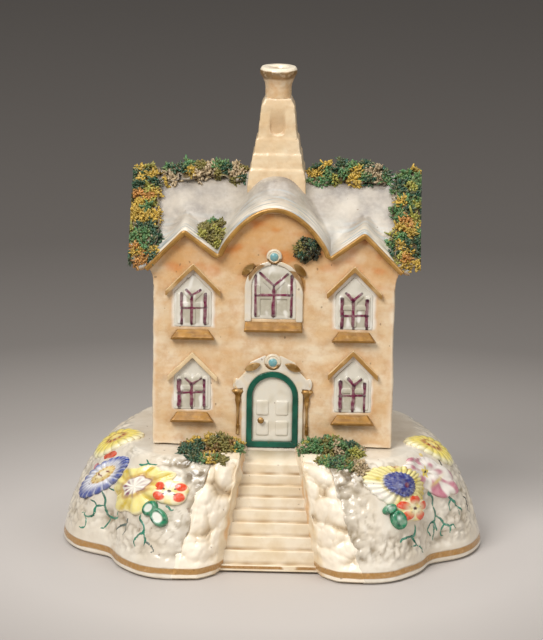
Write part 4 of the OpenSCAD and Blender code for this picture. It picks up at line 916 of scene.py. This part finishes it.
def barPaint(look):
    def paintBy(points, normals):
        x, h = points[:, 0] - look["middle"], points[:, 2] - seatZ
        front = ease(-normals[:, 1], 0.3, 0.8)
        # The pane's rim runs under the wall's edge
        points += normals * [0.35, 0, 0.35]
        ((left, high), (_, low)), ((right, _), _) = look["bars"][:2]
        inPane = ease(x, left, left + 0.6) * (1 - ease(x, right - 0.6, right)) * ease(h, low, low + 0.5)
        rgb = layered("#DCD5C5", ("#ADA48C", 0.75 * inPane * (1 - ease(h, high, high + 1.5))),
                      ("#C4BDAD", 0.6 * ease(noiseAt(points, 2.8, 70), 0.0, 0.6)),
                      ("#ECE7DC", ease(noiseAt(points * [1, 1, 0.5], 1.6, 71), 0.2, 0.6)))
        raised = np.zeros(len(points))
        for index, ends in enumerate(look["bars"]):
            gap, along = segmentGap(x + 0.12 * noiseAt(points, 1.8, 72), h, ends)
            width = 0.34 + 0.1 * noiseAt(points, 2.6, 73 + index) + 0.12 * np.abs(along - 0.5)
            share = 1 - ease(gap, width * 0.8, width * 1.15)
            dark = blendPaint("#6E0F3A", "#3E0A22", np.abs(2 * along - 1) ** 4)
            thin = np.clip(0.97 + 0.3 * noiseAt(points, 3.0, 80 + index), 0.75, 1)
            rgb = blendPaint(rgb, dark, share * thin)
            raised = np.maximum(raised, share)
        points[:, 1] -= 0.12 * raised * front
        return {"paint": coat(rgb, 1.0)}
    return paintBy


for where, look in windows.items():
    softPiece("window_" + where, "painted_window_" + where, sprigEnamel, "house", "white_enamel",
              *windowMelt, barPaint(look))
print("windows built")

# Gap of slip, in millimetres, between a sprig and the mound
slip = 0.2


# Sprigged flowers: ruffled reliefs laid on the mound, painted petal by petal. Two half axes, each millimetres
# rightwards and up the slope, make the sheared oval of a blossom
def sprig(name, mid, node, axes, outline, relief, tint, lift=0.0, spokes=132, rings=40):
    w = np.arange(spokes) * 2 * math.pi / spokes
    k, w = np.meshgrid(np.linspace(0, 1, rings + 1), w, indexing="ij")
    (longP, longQ), (wideP, wideQ) = axes
    p = k * outline(w) * (longP * np.cos(w) + wideP * np.sin(w))
    q = k * outline(w) * (longQ * np.cos(w) + wideQ * np.sin(w))
    a, up = laidPlace(mid, p, q)
    up = np.clip(up, 0.02, 1.08)
    low, normal = moundPoint(a, up), moundNormal(a, up)
    height = (relief(k, w) + lift) * np.sqrt(np.clip(1 - k ** 7, 0, 1))
    height = height + 0.08 * noiseAt(low, 1.4, 90)
    top = low + normal * (slip + height)[..., None]
    skirt, under = low[-1:] - normal[-1:] * 0.4, low[:1] - normal[:1] * 0.6
    points = np.concatenate([top, skirt, under])
    rgb = tint(k, w, p, q)
    rgb = np.concatenate([rgb, rgb[-1:], rgb[-1:]]).reshape(-1, 3)
    makePiece(name, points.reshape(-1, 3), gridFaces(len(points), spokes, loop=True), sprigEnamel, "base",
              node, {"paint": rgb})


def petals(w, count):
    return np.abs(np.cos(w * count / 2))


def plane(p, q):
    return np.stack([p, q, 0 * p], -1)


def petalTones(w, count, seed):
    values = np.random.default_rng(seed).random(count)
    return values[(np.floor((w % (2 * math.pi)) / (2 * math.pi) * count)).astype(int) % count]


def blueTint(k, w, p, q):
    tone = petalTones(w, 22, 3)
    ends = (0.85 + 0.15 * np.abs(np.cos(w))) * ease(petals(w, 22), 0.0, 0.3)
    marks = ease(noiseAt(plane(p, q), 0.9, 91), 0.28, 0.45)
    # Painted shade greys the grooves between the petals
    return layered("#DDDCE2", ("#C9CEDB", 0.6 * ease(k, 0.45, 0.7) * (1 - petals(w, 22))),
                   ("#0F3A98", ease(k, 0.6 - 0.15 * tone, 0.86) * (0.88 + 0.12 * tone) * ends),
                   ("#7C7492", 0.8 * bell(k, 0.95, 0.05) * ease(np.cos(w - 2.3), 0.3, 0.8)),
                   ("#E5CB86", 1 - ease(k, 0.36, 0.46)),
                   ("#BF8A3C", bell(k, 0.38, 0.04) * ease(np.sin(13 * w), 0.0, 0.5)),
                   ("#F0E4C4", 1 - ease(k, 0.12, 0.26)),
                   ("#7A2A22", marks * (1 - ease(k, 0.24, 0.34))))


def blueRelief(k, w):
    return 0.35 + 0.65 * petals(w, 22) ** 0.6 * ease(k, 0.3, 0.6) + 0.7 * (1 - ease(k, 0.2, 0.5))


sprig("aster_blue_left", spots["blueLeft"], ["blossom_blue_left"],
      ((9.4, 8.4), (-4.0, 2.5)), lambda w: 0.94 + 0.06 * petals(w, 22), blueRelief, blueTint)


def yellowTint(k, w, p, q):
    fold = np.sin(6 * w + 0.5) * 0.6 + 0.4 * np.sin(15 * w) + 0.6 * noiseAt(plane(p, q), 2.5, 92)
    heart = 0.38 + 0.08 * np.cos(w - 1.2) + 0.05 * np.cos(2 * w)
    mauve = bell(k, 0.28, 0.12) * ease(np.sin(11 * w), -0.3, 0.4)
    mauve = (0.4 + 0.6 * ease(np.cos(w - 2.9), 0.2, 0.8)) * mauve
    # Painted shade darkens the troughs of the ruffles
    return layered("#EFDF8C", ("#D2B440", ease(-fold, -0.2, 0.7) * ease(k, 0.3, 0.7)),
                   ("#F4EBD2", 0.6 * ease(k, 0.86, 1.0)),
                   ("#F5EEDF", 1 - ease(k, heart - 0.03, heart + 0.02)),
                   ("#C79A4E", 0.8 * bell(k, heart + 0.08, 0.07)),
                   ("#8C4A3C", 0.85 * bell(k, heart, 0.03) * ease(np.cos(w), -0.4, 0.3)),
                   ("#84405E", mauve))


def yellowRelief(k, w):
    ruffle = 0.55 * k * np.sin(6 * w + 0.5) + 0.3 * k * k * np.sin(15 * w)
    return 0.75 + ruffle + 0.4 * (1 - ease(k, 0.2, 0.5))


sprig("peony_yellow_left", spots["yellowLeft"], ["blossom_yellow_left"],
      ((10.0, 7.0), (-6.9, 4.8)), lambda w: 1 - 0.16 * np.sin(3.5 * w + 0.4) ** 2, yellowRelief, yellowTint)


def orangeTint(angles, reach, fade):
    # One red stroke to a petal, faded towards the heart, or with a dot before it
    def tint(k, w, p, q):
        size = 4.9
        u, v = k * np.cos(w), k * np.sin(w)
        rgb = blendPaint("#F5E9BE", "#EFD98E", ease(noiseAt(plane(p, q), 1.6, 93), -0.1, 0.5))
        for turn in angles:
            along = u * math.cos(turn) + v * math.sin(turn)
            side = -u * math.sin(turn) + v * math.cos(turn)
            inPetal = 1 - ease(np.hypot((along - 0.66) / reach, side / 0.36), 0.8, 1.05)
            dot = np.hypot(along - 0.34, side) * size
            rgb = layered(rgb, ("#DD4418", inPetal * mix(1, ease(along, 0.3, 0.75), fade)),
                          ("#5A2A1C", (1 - ease(dot, 0.22, 0.42)) * (1 - fade)))
        return blendPaint(rgb, "#4A2018", 1 - ease(k * size, 0.35, 0.75))
    return tint


fourTurns = [math.radians(v) for v in (145, 28, 212, 318)]
fiveTurns = [math.radians(90 + 72 * v) for v in range(5)]
sprig("blossom_orange_left_painted", spots["orangeLeft"], ["blossom_orange_left"],
      ((5.5, 0.4), (-1.2, 3.9)), lambda w: 0.88 + 0.12 * petals(w - 0.5, 4),
      lambda k, w: 0.7 + 0.3 * petals(w - 0.5, 4) * k,
      orangeTint(fourTurns, 0.32, 0.0), 0.5, 96, 34)
sprig("blossom_orange_right_painted", spots["orangeRight"], ["blossom_orange_right"],
      ((7.2, -1.5), (1.2, 3.8)), lambda w: 0.8 + 0.2 * petals(w - math.pi / 2, 5),
      lambda k, w: 0.6 + 0.35 * petals(w - math.pi / 2, 5) * k,
      orangeTint(fiveTurns, 0.4, 0.8), 0.4, 100, 34)


def asterTint(k, w, p, q):
    line = petals(w, 26)
    # Painted shade greys the grooves between the petals, and a painted highlight pales the petals on the left
    # side
    rgb = layered("#EBDC92", ("#D0B955", ease(noiseAt(plane(p, q), 2.2, 94), -0.1, 0.5)),
                  ("#A79A55", 0.75 * (1 - ease(line, 0.1, 0.4)) * ease(k, 0.45, 0.75)),
                  ("#9A4A2C", 0.8 * (petalTones(w, 26, 7) > 0.8) * bell(k, 0.9, 0.07)),
                  ("#F1EDE4", 0.8 * ease(np.cos(w - 3.9), 0.75, 0.95) * ease(k, 0.5, 0.7)))
    x, y = 12 * k * np.cos(w) + 0.6, 7 * k * np.sin(w)
    dome = np.hypot(x / 6.2, y / 4.1) + 0.06 * noiseAt(plane(p, q), 0.8, 95)
    streak = noiseAt(np.stack([x * 0.5, y * 1.8, 0 * x], -1), 1.0, 96)
    violet = layered("#333A80", ("#8794C4", 0.8 * ease(streak, 0.2, 0.6)),
                     ("#3A3568", ease(-streak, 0.1, 0.5)),
                     ("#6E2A48", 1 - ease(np.hypot(x - 1.5, y + 0.3), 0.5, 1.1)))
    return blendPaint(rgb, violet, 1 - ease(dome, 0.86, 1.04))


def asterRelief(k, w):
    dome = np.sqrt(np.clip(1 - (2 * k * np.cos(w) + 0.1) ** 2 - (1.75 * k * np.sin(w)) ** 2, 0, 1))
    return 0.4 + 0.6 * petals(w, 26) ** 0.6 * ease(k, 0.35, 0.6) + 1.5 * dome


sprig("aster_yellow_right", spots["asterRight"], ["blossom_aster_right"],
      ((10.8, -3.6), (2.6, 6.1)), lambda w: 0.94 + 0.06 * petals(w, 26), asterRelief, asterTint)


def pinkTint(k, w, p, q):
    flush = ease(noiseAt(plane(p, q), 4.0, 97) + 0.35 * np.cos(7 * w), -0.2, 0.35) * ease(k, 0.2, 0.5)
    gap = np.hypot(p + 1.6, q - 0.6)
    turn = np.arctan2(q - 0.6, p + 1.6)
    star = 1 - ease(gap / (0.9 + 1.1 * petals(turn, 5) ** 2), 0.85, 1.1)
    return layered("#F0E7DC", ("#C9808F", flush),
                   ("#9C8C80", 0.5 * ease(q, 2, 6) * ease(np.sin(30 * w), 0.2, 0.8)),
                   ("#E8CE5E", star), ("#E6CF6A", 0.8 * bell(q - 0.3 * p, -3.4, 0.5) * bell(p, 2.0, 2.4)),
                   ("#221818", 1 - ease(gap, 0.3, 0.55)))


def pinkRelief(k, w):
    return 0.45 + 0.35 * petals(w, 7) * k + 0.25 * np.sin(9 * k + 2 * w)


sprig("rose_pink_right", spots["pinkRight"], ["blossom_pink_right"],
      ((10.0, -7.2), (5.0, 3.3)), lambda w: 0.84 + 0.16 * petals(w, 7), pinkRelief, pinkTint)


def rearTint(k, w, p, q):
    line = petals(w, 16)
    # Painted shade greys the grooves between the petals
    return layered("#EBD668", ("#F3EBC4", ease(k, 0.7, 1.0)),
                   ("#A89A50", 0.6 * (1 - ease(line, 0.1, 0.4)) * ease(k, 0.4, 0.7)),
                   ("#C98F3A", 0.9 * bell(k, 0.34, 0.1)),
                   ("#8A3420", bell(k, 0.3, 0.07) * ease(np.sin(9 * w), -0.6, 0.2)),
                   ("#E9D28C", 1 - ease(k, 0.1, 0.2)))


def rearRelief(k, w):
    return 0.45 + 0.35 * petals(w, 16) ** 0.6 * ease(k, 0.3, 0.6) + 0.3 * bell(k, 0.25, 0.1)


rearAxes = {"left": ((6.6, 6.6), (-4.5, 4.5)), "right": ((4.4, -8.0), (6.6, 0.6))}
for side, spot in (("left", "yellowRearLeft"), ("right", "yellowRearRight")):
    sprig("aster_yellow_rear_" + side, spots[spot], ["blossom_yellow_rear_" + side],
          rearAxes[side], lambda w: 0.94 + 0.06 * petals(w, 16), rearRelief, rearTint)

# Leaves: place, half length, half width, turn, and how white the heart is
leaves = {"left_a": ((227.4, 0.496), 2.5, 2.1, 0.9, 0.8), "left_b": ((231.0, 0.452), 3.3, 2.2, -0.72, 0.9),
          "right_a": ((313.4, 0.519), 2.3, 1.3, 0.33, 0.1), "right_b": ((316.0, 0.449), 3.1, 2.5, -1.08, 0.1)}


def leafTint(ring):
    def tint(k, w, p, q):
        # Leaves with little white heart get a pale spot just left of and above the middle instead: a painted
        # highlight
        return layered("#237F58", ("#12583D", ease(noiseAt(plane(p, q), 1.2, 98), 0.0, 0.5)),
                       ("#F1EDE2", ring * (1 - ease(k, 0.42, 0.6))),
                       ("#DDE8DC", (1 - ring) * bell(np.hypot(p + 0.5, q - 0.5), 0, 0.6)))
    return tint


for where, (place, long, wide, turn, ring) in leaves.items():
    c, s = math.cos(turn), math.sin(turn)
    sprig("leaf_" + where, place, ["leaf_pair_" + where[:-2]],
          ((long * c, long * s), (-wide * s, wide * c)), np.ones_like,
          lambda k, w: 0.75 + 0.25 * bell(k, 0.75, 0.2), leafTint(ring), 0.5, 60, 22)
print("flowers built")

# Brushed tendrils as compass angle and share of the way up the mound, with each stroke's colour and width
green = "#2F7F66"
grey = "#5E6A62"
black = "#3A3A36"
strokes = [
    (green, 1.0, [(200.3, .488), (202.6, .441), (202.9, .399), (203.6, .357), (205.1, .335), (207.9, .34),
                  (210.8, .371), (211.5, .405)]),
    (green, 0.8, [(202.9, .399), (200.8, .389), (199.9, .378), (199.9, .339), (199, .314), (197.3, .305),
                  (196, .32), (194.8, .315)]),
    (green, 0.6, [(199.9, .384), (199.2, .404), (197.4, .41)]),
    (green, 0.7, [(196.9, .303), (197.6, .267), (197.5, .233), (196.3, .219), (195.5, .222)]),
    (green, 0.7, [(205.1, .335), (204.7, .298), (203.8, .261), (202.7, .252)]),
    (green, 0.8, [(206.3, .585), (209, .566), (207.7, .523), (205.2, .508), (202.9, .512)]),
    (grey, 0.8, [(218.6, .401), (216.9, .356), (213.8, .326), (211.3, .27)]),
    (grey, 0.6, [(216.9, .357), (217.2, .316), (216.6, .284)]),
    (green, 0.9, [(224, .446), (224.2, .419), (226.2, .389), (226.4, .347), (224.9, .331), (223.4, .284),
                  (223.6, .244)]),
    (green, 0.7, [(226.4, .348), (227.7, .303), (227.1, .267)]),
    (grey, 0.7, [(227.7, .298), (229.6, .285), (231.1, .252), (230.5, .235)]),
    (green, 0.7, [(216.5, .774), (218.4, .776), (219.9, .804), (218.4, .844)]),
    (green, 0.6, [(219.9, .804), (221.7, .798), (223.6, .808)]),
    (green, 0.7, [(232.2, .524), (233.3, .515), (234.2, .5), (235.1, .504)]),
    (green, 1.0, [(336.1, .444), (336.6, .4), (335.8, .354), (334.2, .342), (332.6, .307), (333.6, .261)]),
    (green, 0.7, [(335.8, .354), (335.9, .318), (336.4, .285)]),
    (green, 0.6, [(335.3, .332), (335.4, .288), (334.8, .225)]),
    (green, 0.8, [(336.4, .388), (338.1, .358), (338.9, .324), (340.7, .305), (342, .305), (342.3, .279)]),
    (green, 0.6, [(338.9, .324), (337.9, .291), (337.8, .253), (338.4, .244)]),
    (green, 0.6, [(340.7, .305), (340.3, .255)]),
    (green, 0.9, [(336.1, .444), (336.5, .496), (335, .539)]),
    (green, 0.7, [(337.2, .575), (338.2, .564), (337.4, .536), (336.1, .522)]),
    (green, 0.9, [(342.6, .501), (343.5, .461), (345.6, .407), (347.5, .36)]),
    (green, 0.7, [(343.5, .461), (342, .42), (342.2, .39)]),
    (green, 0.6, [(345.7, .408), (345.4, .35)]),
    (black, 0.7, [(346.9, .734), (346.4, .69), (345.8, .649), (345.9, .62)]),
    (green, 0.8, [(324.8, .775), (327.2, .732), (328, .686), (332.9, .639), (336.2, .627)]),
    (green, 0.9, [(323.3, .392), (323.6, .349), (322.8, .326), (319.9, .33), (317.1, .327), (315.7, .309)]),
    (green, 0.8, [(321.5, .326), (322.8, .293), (323.3, .265), (321.6, .258)]),
    (green, 0.6, [(323.3, .265), (325.8, .227), (327, .183)]),
    (black, 0.6, [(351.7, .434), (352, .38), (352.3, .33)]),
    (green, 1.6, [(335.0, .539), (335.7, .523), (336.2, .51)]),
    ("#D4512F", 2.4, [(194.2, .69), (197.5, .735), (200.5, .76)]),
    ("#D98C92", 3.0, [(192.6, .58), (193.1, .6), (193.8, .63)]),
    ("#E0C26A", 1.6, [(338, .82), (338.6, .83), (339.4, .84)])]


def smoothPath(knots):
    knots = np.array(knots, float)
    ends = np.concatenate([[2 * knots[0] - knots[1]], knots, [2 * knots[-1] - knots[-2]]])
    t = np.linspace(0, 1, 9)[:-1, None]
    run = []
    for k in range(1, len(ends) - 2):
        a, b, c, d = ends[k - 1:k + 3]
        bend, twist = 2 * a - 5 * b + 4 * c - d, 3 * b - a - 3 * c + d
        run.append(0.5 * (2 * b + (c - a) * t + bend * t ** 2 + twist * t ** 3))
    return np.concatenate(run + [knots[-1:]])


def buildTendrils():
    across = np.linspace(-1, 1, 7)
    allPoints, faces, tints = [], [], []
    for tone, width, knots in strokes:
        path = smoothPath(knots)
        a, up = path.T
        middle, normal = moundPoint(a, up), moundNormal(a, up)
        side = np.cross(np.gradient(middle, axis=0), normal)
        side /= np.linalg.norm(side, axis=1, keepdims=True)
        # Each stroke swells and tapers as the brush is pressed and lifted
        along = np.linspace(0, 1, len(path))
        half = 0.5 * width * (0.55 + 0.45 * np.sin(math.pi * (0.25 + 0.75 * along)))
        half = half * (1 + 0.25 * noiseAt(middle, 2, 100))
        half = half * np.sqrt(np.clip(1 - (2 * along - 1) ** 8, 0.05, 1))
        spread = middle[:, None] + side[:, None] * (half[:, None] * across)[..., None]
        rise = rockAt(spread, np.repeat(up[:, None], len(across), 1))
        rise = rise + 0.156 * (1 - across ** 2)[None, :] - 0.03
        points = (spread + normal[:, None] * rise[..., None]).reshape(-1, 3)
        faces += gridFaces(len(path), len(across), start=sum(len(v) for v in allPoints))
        allPoints.append(points)
        tints.append(blendPaint(tone, colour(tone) * 0.45, ease(noiseAt(points, 2.0, 101), -0.2, 0.5)))
    makePiece("painted_tendrils", np.concatenate(allPoints), faces, sprigEnamel, "base", (),
              {"paint": np.concatenate(tints)})


buildTendrils()
print("tendrils built")

# Moss: a dark crust set with clumps of short clay strands, one colour a clump. Gap between clumps, height and
# patch of one colour are in millimetres, and hang is two compass angles, a share up the mound and a count
mossTones = {"dark": "#27513F", "green": "#4F7D4E", "lime": "#A3A04A", "ochre": "#C2A044",
             "orange": "#BE8444", "olive": "#77703A", "cream": "#B9A384", "black": "#1B251C",
             "brown": "#82613A"}
crustTones = {"ground": "#6E5C40", "pale": "#A89274", "thin": "#A2978A", "dry": "#B59A5C"}
mosses = {
    "ridge_moss_left": {"body": "house", "gap": 2.2, "tall": 1.1, "strands": 44, "clearBelow": 0.5,
                        "tones": "dark dark green olive cream cream ochre"},
    "ridge_moss_right": {"body": "house", "gap": 2.2, "tall": 1.1, "strands": 44, "clearBelow": -0.5,
                         "tones": "dark lime green ochre dark olive cream"},
    "verge_moss_left": {"body": "house", "gap": 2.2, "tall": 1.2, "strands": 44, "clearInside": 34.0,
                        "tones": "dark dark green ochre lime dark ochre orange"},
    "verge_moss_right": {"body": "house", "gap": 2.2, "tall": 1.2, "strands": 44, "clearInside": 34.0,
                         "tones": "dark green lime dark green ochre orange"},
    "valley_moss": {"body": "house", "gap": 1.9, "tall": 1.0, "strands": 40,
                    "tones": "olive lime olive green"},
    "gable_moss": {"body": "house", "gap": 1.7, "tall": 1.0, "strands": 40,
                   "tones": "dark olive black dark lime"},
    "bush_left": {"body": "base", "gap": 2.0, "tall": 1.1, "strands": 44, "hang": (231, 246, 0.9, 16),
                  "patch": 4, "tones": "dark green olive ochre brown cream cream"},
    "bush_right": {"body": "base", "gap": 2.0, "tall": 1.1, "strands": 44, "hang": (296, 310, 0.78, 26),
                   "patch": 4, "tones": "dark green green lime olive cream cream"}}


def spacedOut(points, gap, order):
    kept = []
    for index in order:
        if all(np.sum((points[index] - points[other]) ** 2) > gap * gap for other in kept):
            kept.append(index)
    return kept


def buildMoss(node, look):
    gap = look["gap"]
    points, faces, normals = softCopy(node, 0.4, 6)
    # Clumps thin out down the roof's front slope and in from the verges
    thin = ease(look.get("clearBelow", -99) - points[:, 1] + 2.5 * noiseAt(points, 5, 112), -0.5, 0.5)
    inner = look.get("clearInside", -99) - np.abs(points[:, 0]) + 2.6 * noiseAt(points, 4, 113)
    thin = np.maximum(thin, ease(inner, -0.5, 0.5))
    faces = [f for f in faces if thin[list(f)].min() < 0.6]
    crust = points + normals * (0.3 * noiseAt(points, 1.6, 110) - 0.55 - 1.6 * thin)[:, None]
    shown = rng.permutation(np.flatnonzero((normals[:, 2] > -0.35) & (thin < 0.5)))
    kept = spacedOut(points, gap, shown)
    seats, leans = points[kept], normals[kept]
    if "hang" in look:
        # Clumps that hang over the mound's shoulder
        low, high, foot, count = look["hang"]
        a = low + (high - low) * rng.random(count)
        up = mix(0.97, mix(0.93, foot, (a - low) / (high - low)), rng.random(count))
        seats = np.concatenate([seats, moundPoint(a, up) + 0.5 * moundNormal(a, up)])
        leans = np.concatenate([leans, moundNormal(a, up)])
    count = look["strands"]
    tones = look["tones"].split()
    bases, ways, lengths, rgb = [], [], [], []
    for seat, n in zip(seats, leans):
        u = np.cross(n, [0.3, 0.5, 0.8] if abs(n[2]) < 0.8 else [1.0, 0.2, 0.1])
        u /= np.linalg.norm(u)
        v = np.cross(n, u)
        turn = rng.random(count) * 2 * math.pi
        out = np.sqrt(rng.random(count)) * gap * 0.62
        offset = (u * np.cos(turn)[:, None] + v * np.sin(turn)[:, None]) * out[:, None]
        dome = np.sqrt(1 - np.minimum(out / gap / 0.66, 1) ** 2)
        bases.append(seat + offset + n * (0.75 * dome - 1.1)[:, None])
        way = n * dome[:, None] + offset / gap * 1.5 + rng.normal(0, 0.45, (count, 3))
        ways.append(way / np.linalg.norm(way, axis=1, keepdims=True))
        lengths.append(look["tall"] * (0.5 + 0.5 * rng.random(count)))
        pick = 0.5 + 1.1 * noise.noise(Vector(seat) / look.get("patch", 6)) + rng.normal(0, 0.08)
        tone = colour(mossTones[tones[int(len(tones) * min(max(pick, 0), 0.999))]])
        lit = tone * (0.6 + 0.7 * rng.random((count, 1)))
        rgb.append(mix(lit, colour(crustTones["dry"]), 0.3 * rng.random((count, 1)) ** 2))
    bases, ways, lengths, rgb = (np.concatenate(v) for v in (bases, ways, lengths, rgb))
    # Each strand is a bent square stem of four sections
    bend = rng.normal(0, 0.45, bases.shape)
    first = np.cross(ways, rng.normal(0, 1, bases.shape))
    first /= np.linalg.norm(first, axis=1, keepdims=True)
    second = np.cross(ways, first)
    width = 0.27 + 0.13 * rng.random(len(bases))
    sections = []
    for share, girth in ((0, 1.0), (0.4, 1.05), (0.8, 1.0), (1.0, 0.6)):
        middle = bases + ways * (lengths * share)[:, None] + bend * (lengths * share ** 2)[:, None]
        reach = (width * girth)[:, None]
        corners = ((1, 0), (0, 1), (-1, 0), (0, -1))
        sections.append(np.stack([middle + (first * cx + second * cy) * reach for cx, cy in corners], 1))
    strands = np.stack(sections, 1)
    if look["body"] == "base":
        # Bushes keep off the house, which lifts past them
        strands[..., 1] = np.minimum(strands[..., 1], facadeY - 0.5)
    strands[..., 0] = np.clip(strands[..., 0], -41.6, 41.6)
    stem = gridFaces(4, 4, loop=True) + [[12, 13, 14, 15]]
    starts = len(crust) + np.arange(len(bases)) * 16
    faces += (np.array(stem)[None] + starts[:, None, None]).reshape(-1, 4).tolist()
    # Painted shade: strands darken towards the crust
    crustRgb = layered(crustTones["ground"], (crustTones["pale"], ease(noiseAt(points, 2.5, 111), -0.1, 0.4)),
                       (crustTones["thin"], thin))
    depth = np.array([0.45, 0.8, 1.0, 1.1])
    strandRgb = np.repeat((rgb[:, None] * depth[None, :, None])[:, :, None], 4, 2).reshape(-1, 3)
    makePiece("clay_" + node, np.concatenate([crust, strands.reshape(-1, 3)]), faces, mossClay, look["body"],
              [node], {"paint": np.concatenate([crustRgb, strandRgb])})


for node, look in mosses.items():
    buildMoss(node, look)
print("moss built")

# Camera at the photograph's angle: degrees, metres away, and pixels to a metre at the object
view = {"turn": 1.5, "tilt": 14.0, "roll": 0.8, "far": 1.0, "zoom": 3440}


def buildCamera():
    a, e, r = (math.radians(view[k]) for k in ("turn", "tilt", "roll"))
    back = Vector((math.sin(a) * math.cos(e), -math.cos(a) * math.cos(e), math.sin(e)))
    right = Vector((math.cos(a), math.sin(a), 0))
    up = back.cross(right)
    right, up = right * math.cos(r) + up * math.sin(r), up * math.cos(r) - right * math.sin(r)
    camera = bpy.data.objects.new("camera", bpy.data.cameras.new("camera"))
    bpy.context.scene.collection.objects.link(camera)
    target = Vector((0, 0, 0.066)) - right * (3.5 / view["zoom"]) + up * (1 / view["zoom"])
    turn = Matrix((right, up, back)).transposed().to_4x4()
    camera.matrix_world = Matrix.Translation(target + back * view["far"]) @ turn
    camera.data.sensor_width = 36
    camera.data.lens = 36 * view["zoom"] / 640
    bpy.context.scene.camera = camera


buildCamera()

# Floor: one sheet with a painted pool of light, pale near the object and darker with distance, in metres from
# the object
lightPoolTones = [(0.08, "#BEB7B1"), (0.14, "#9F9892"), (0.24, "#756F6A"), (0.4, "#625C57"), (1.0, "#5A544F")]


def buildFloor():
    reach = 4.0
    corners = [(-reach, -reach, 0), (reach, -reach, 0), (reach, reach, 0), (-reach, reach, 0)]
    mesh = bpy.data.meshes.new("floor")
    mesh.from_pydata(corners, [], [(0, 1, 2, 3)])
    # Matt paper: soft grey with hardly any sheen
    sheet = bpy.data.materials.new("matt_paper_painted_light_pool")
    sheet.use_nodes = True
    tree = sheet.node_tree
    place = addNode(tree, "TexCoord").outputs["Object"]
    away = addNode(tree, "VectorMath", {0: place}, operation="LENGTH")
    ramp = addNode(tree, "ValToRGB", {0: away.outputs["Value"]})
    stops = ramp.color_ramp.elements
    while len(stops) < len(lightPoolTones):
        stops.new(0.5)
    for stop, (at, tone) in zip(stops, lightPoolTones):
        stop.position = at
        stop.color = rgba(tone)
    shader = tree.nodes["Principled BSDF"]
    tree.links.new(ramp.outputs[0], shader.inputs["Base Color"])
    shader.inputs["Roughness"].default_value = 0.6
    mesh.materials.append(sheet)
    floor = bpy.data.objects.new("floor", mesh)
    bpy.context.scene.collection.objects.link(floor)


buildFloor()

# Large soft lights in a dim room: place and size in metres, power in watts
lamps = {
    "key": {"at": (-0.5, -0.85, 1.0), "size": 0.6, "power": 16.5},
    "fill": {"at": (0.9, -0.8, 0.5), "size": 0.8, "power": 4.5},
    "top": {"at": (0.1, 0.1, 1.3), "size": 0.9, "power": 7.5}}
for name, lamp in lamps.items():
    data = bpy.data.lights.new(name, "AREA")
    data.size = lamp["size"]
    data.energy = lamp["power"]
    light = bpy.data.objects.new(name, data)
    light.location = lamp["at"]
    light.rotation_euler = (Vector((0, 0, 0.06)) - light.location).to_track_quat("-Z", "Y").to_euler()
    bpy.context.scene.collection.objects.link(light)
world = bpy.data.worlds.new("soft_room")
world.use_nodes = True
world.node_tree.nodes["Background"].inputs[0].default_value = rgba("#D8D6D2")
world.node_tree.nodes["Background"].inputs[1].default_value = 0.3
bpy.context.scene.world = world
bpy.context.scene.view_settings.view_transform = "Standard"
print("stage built")
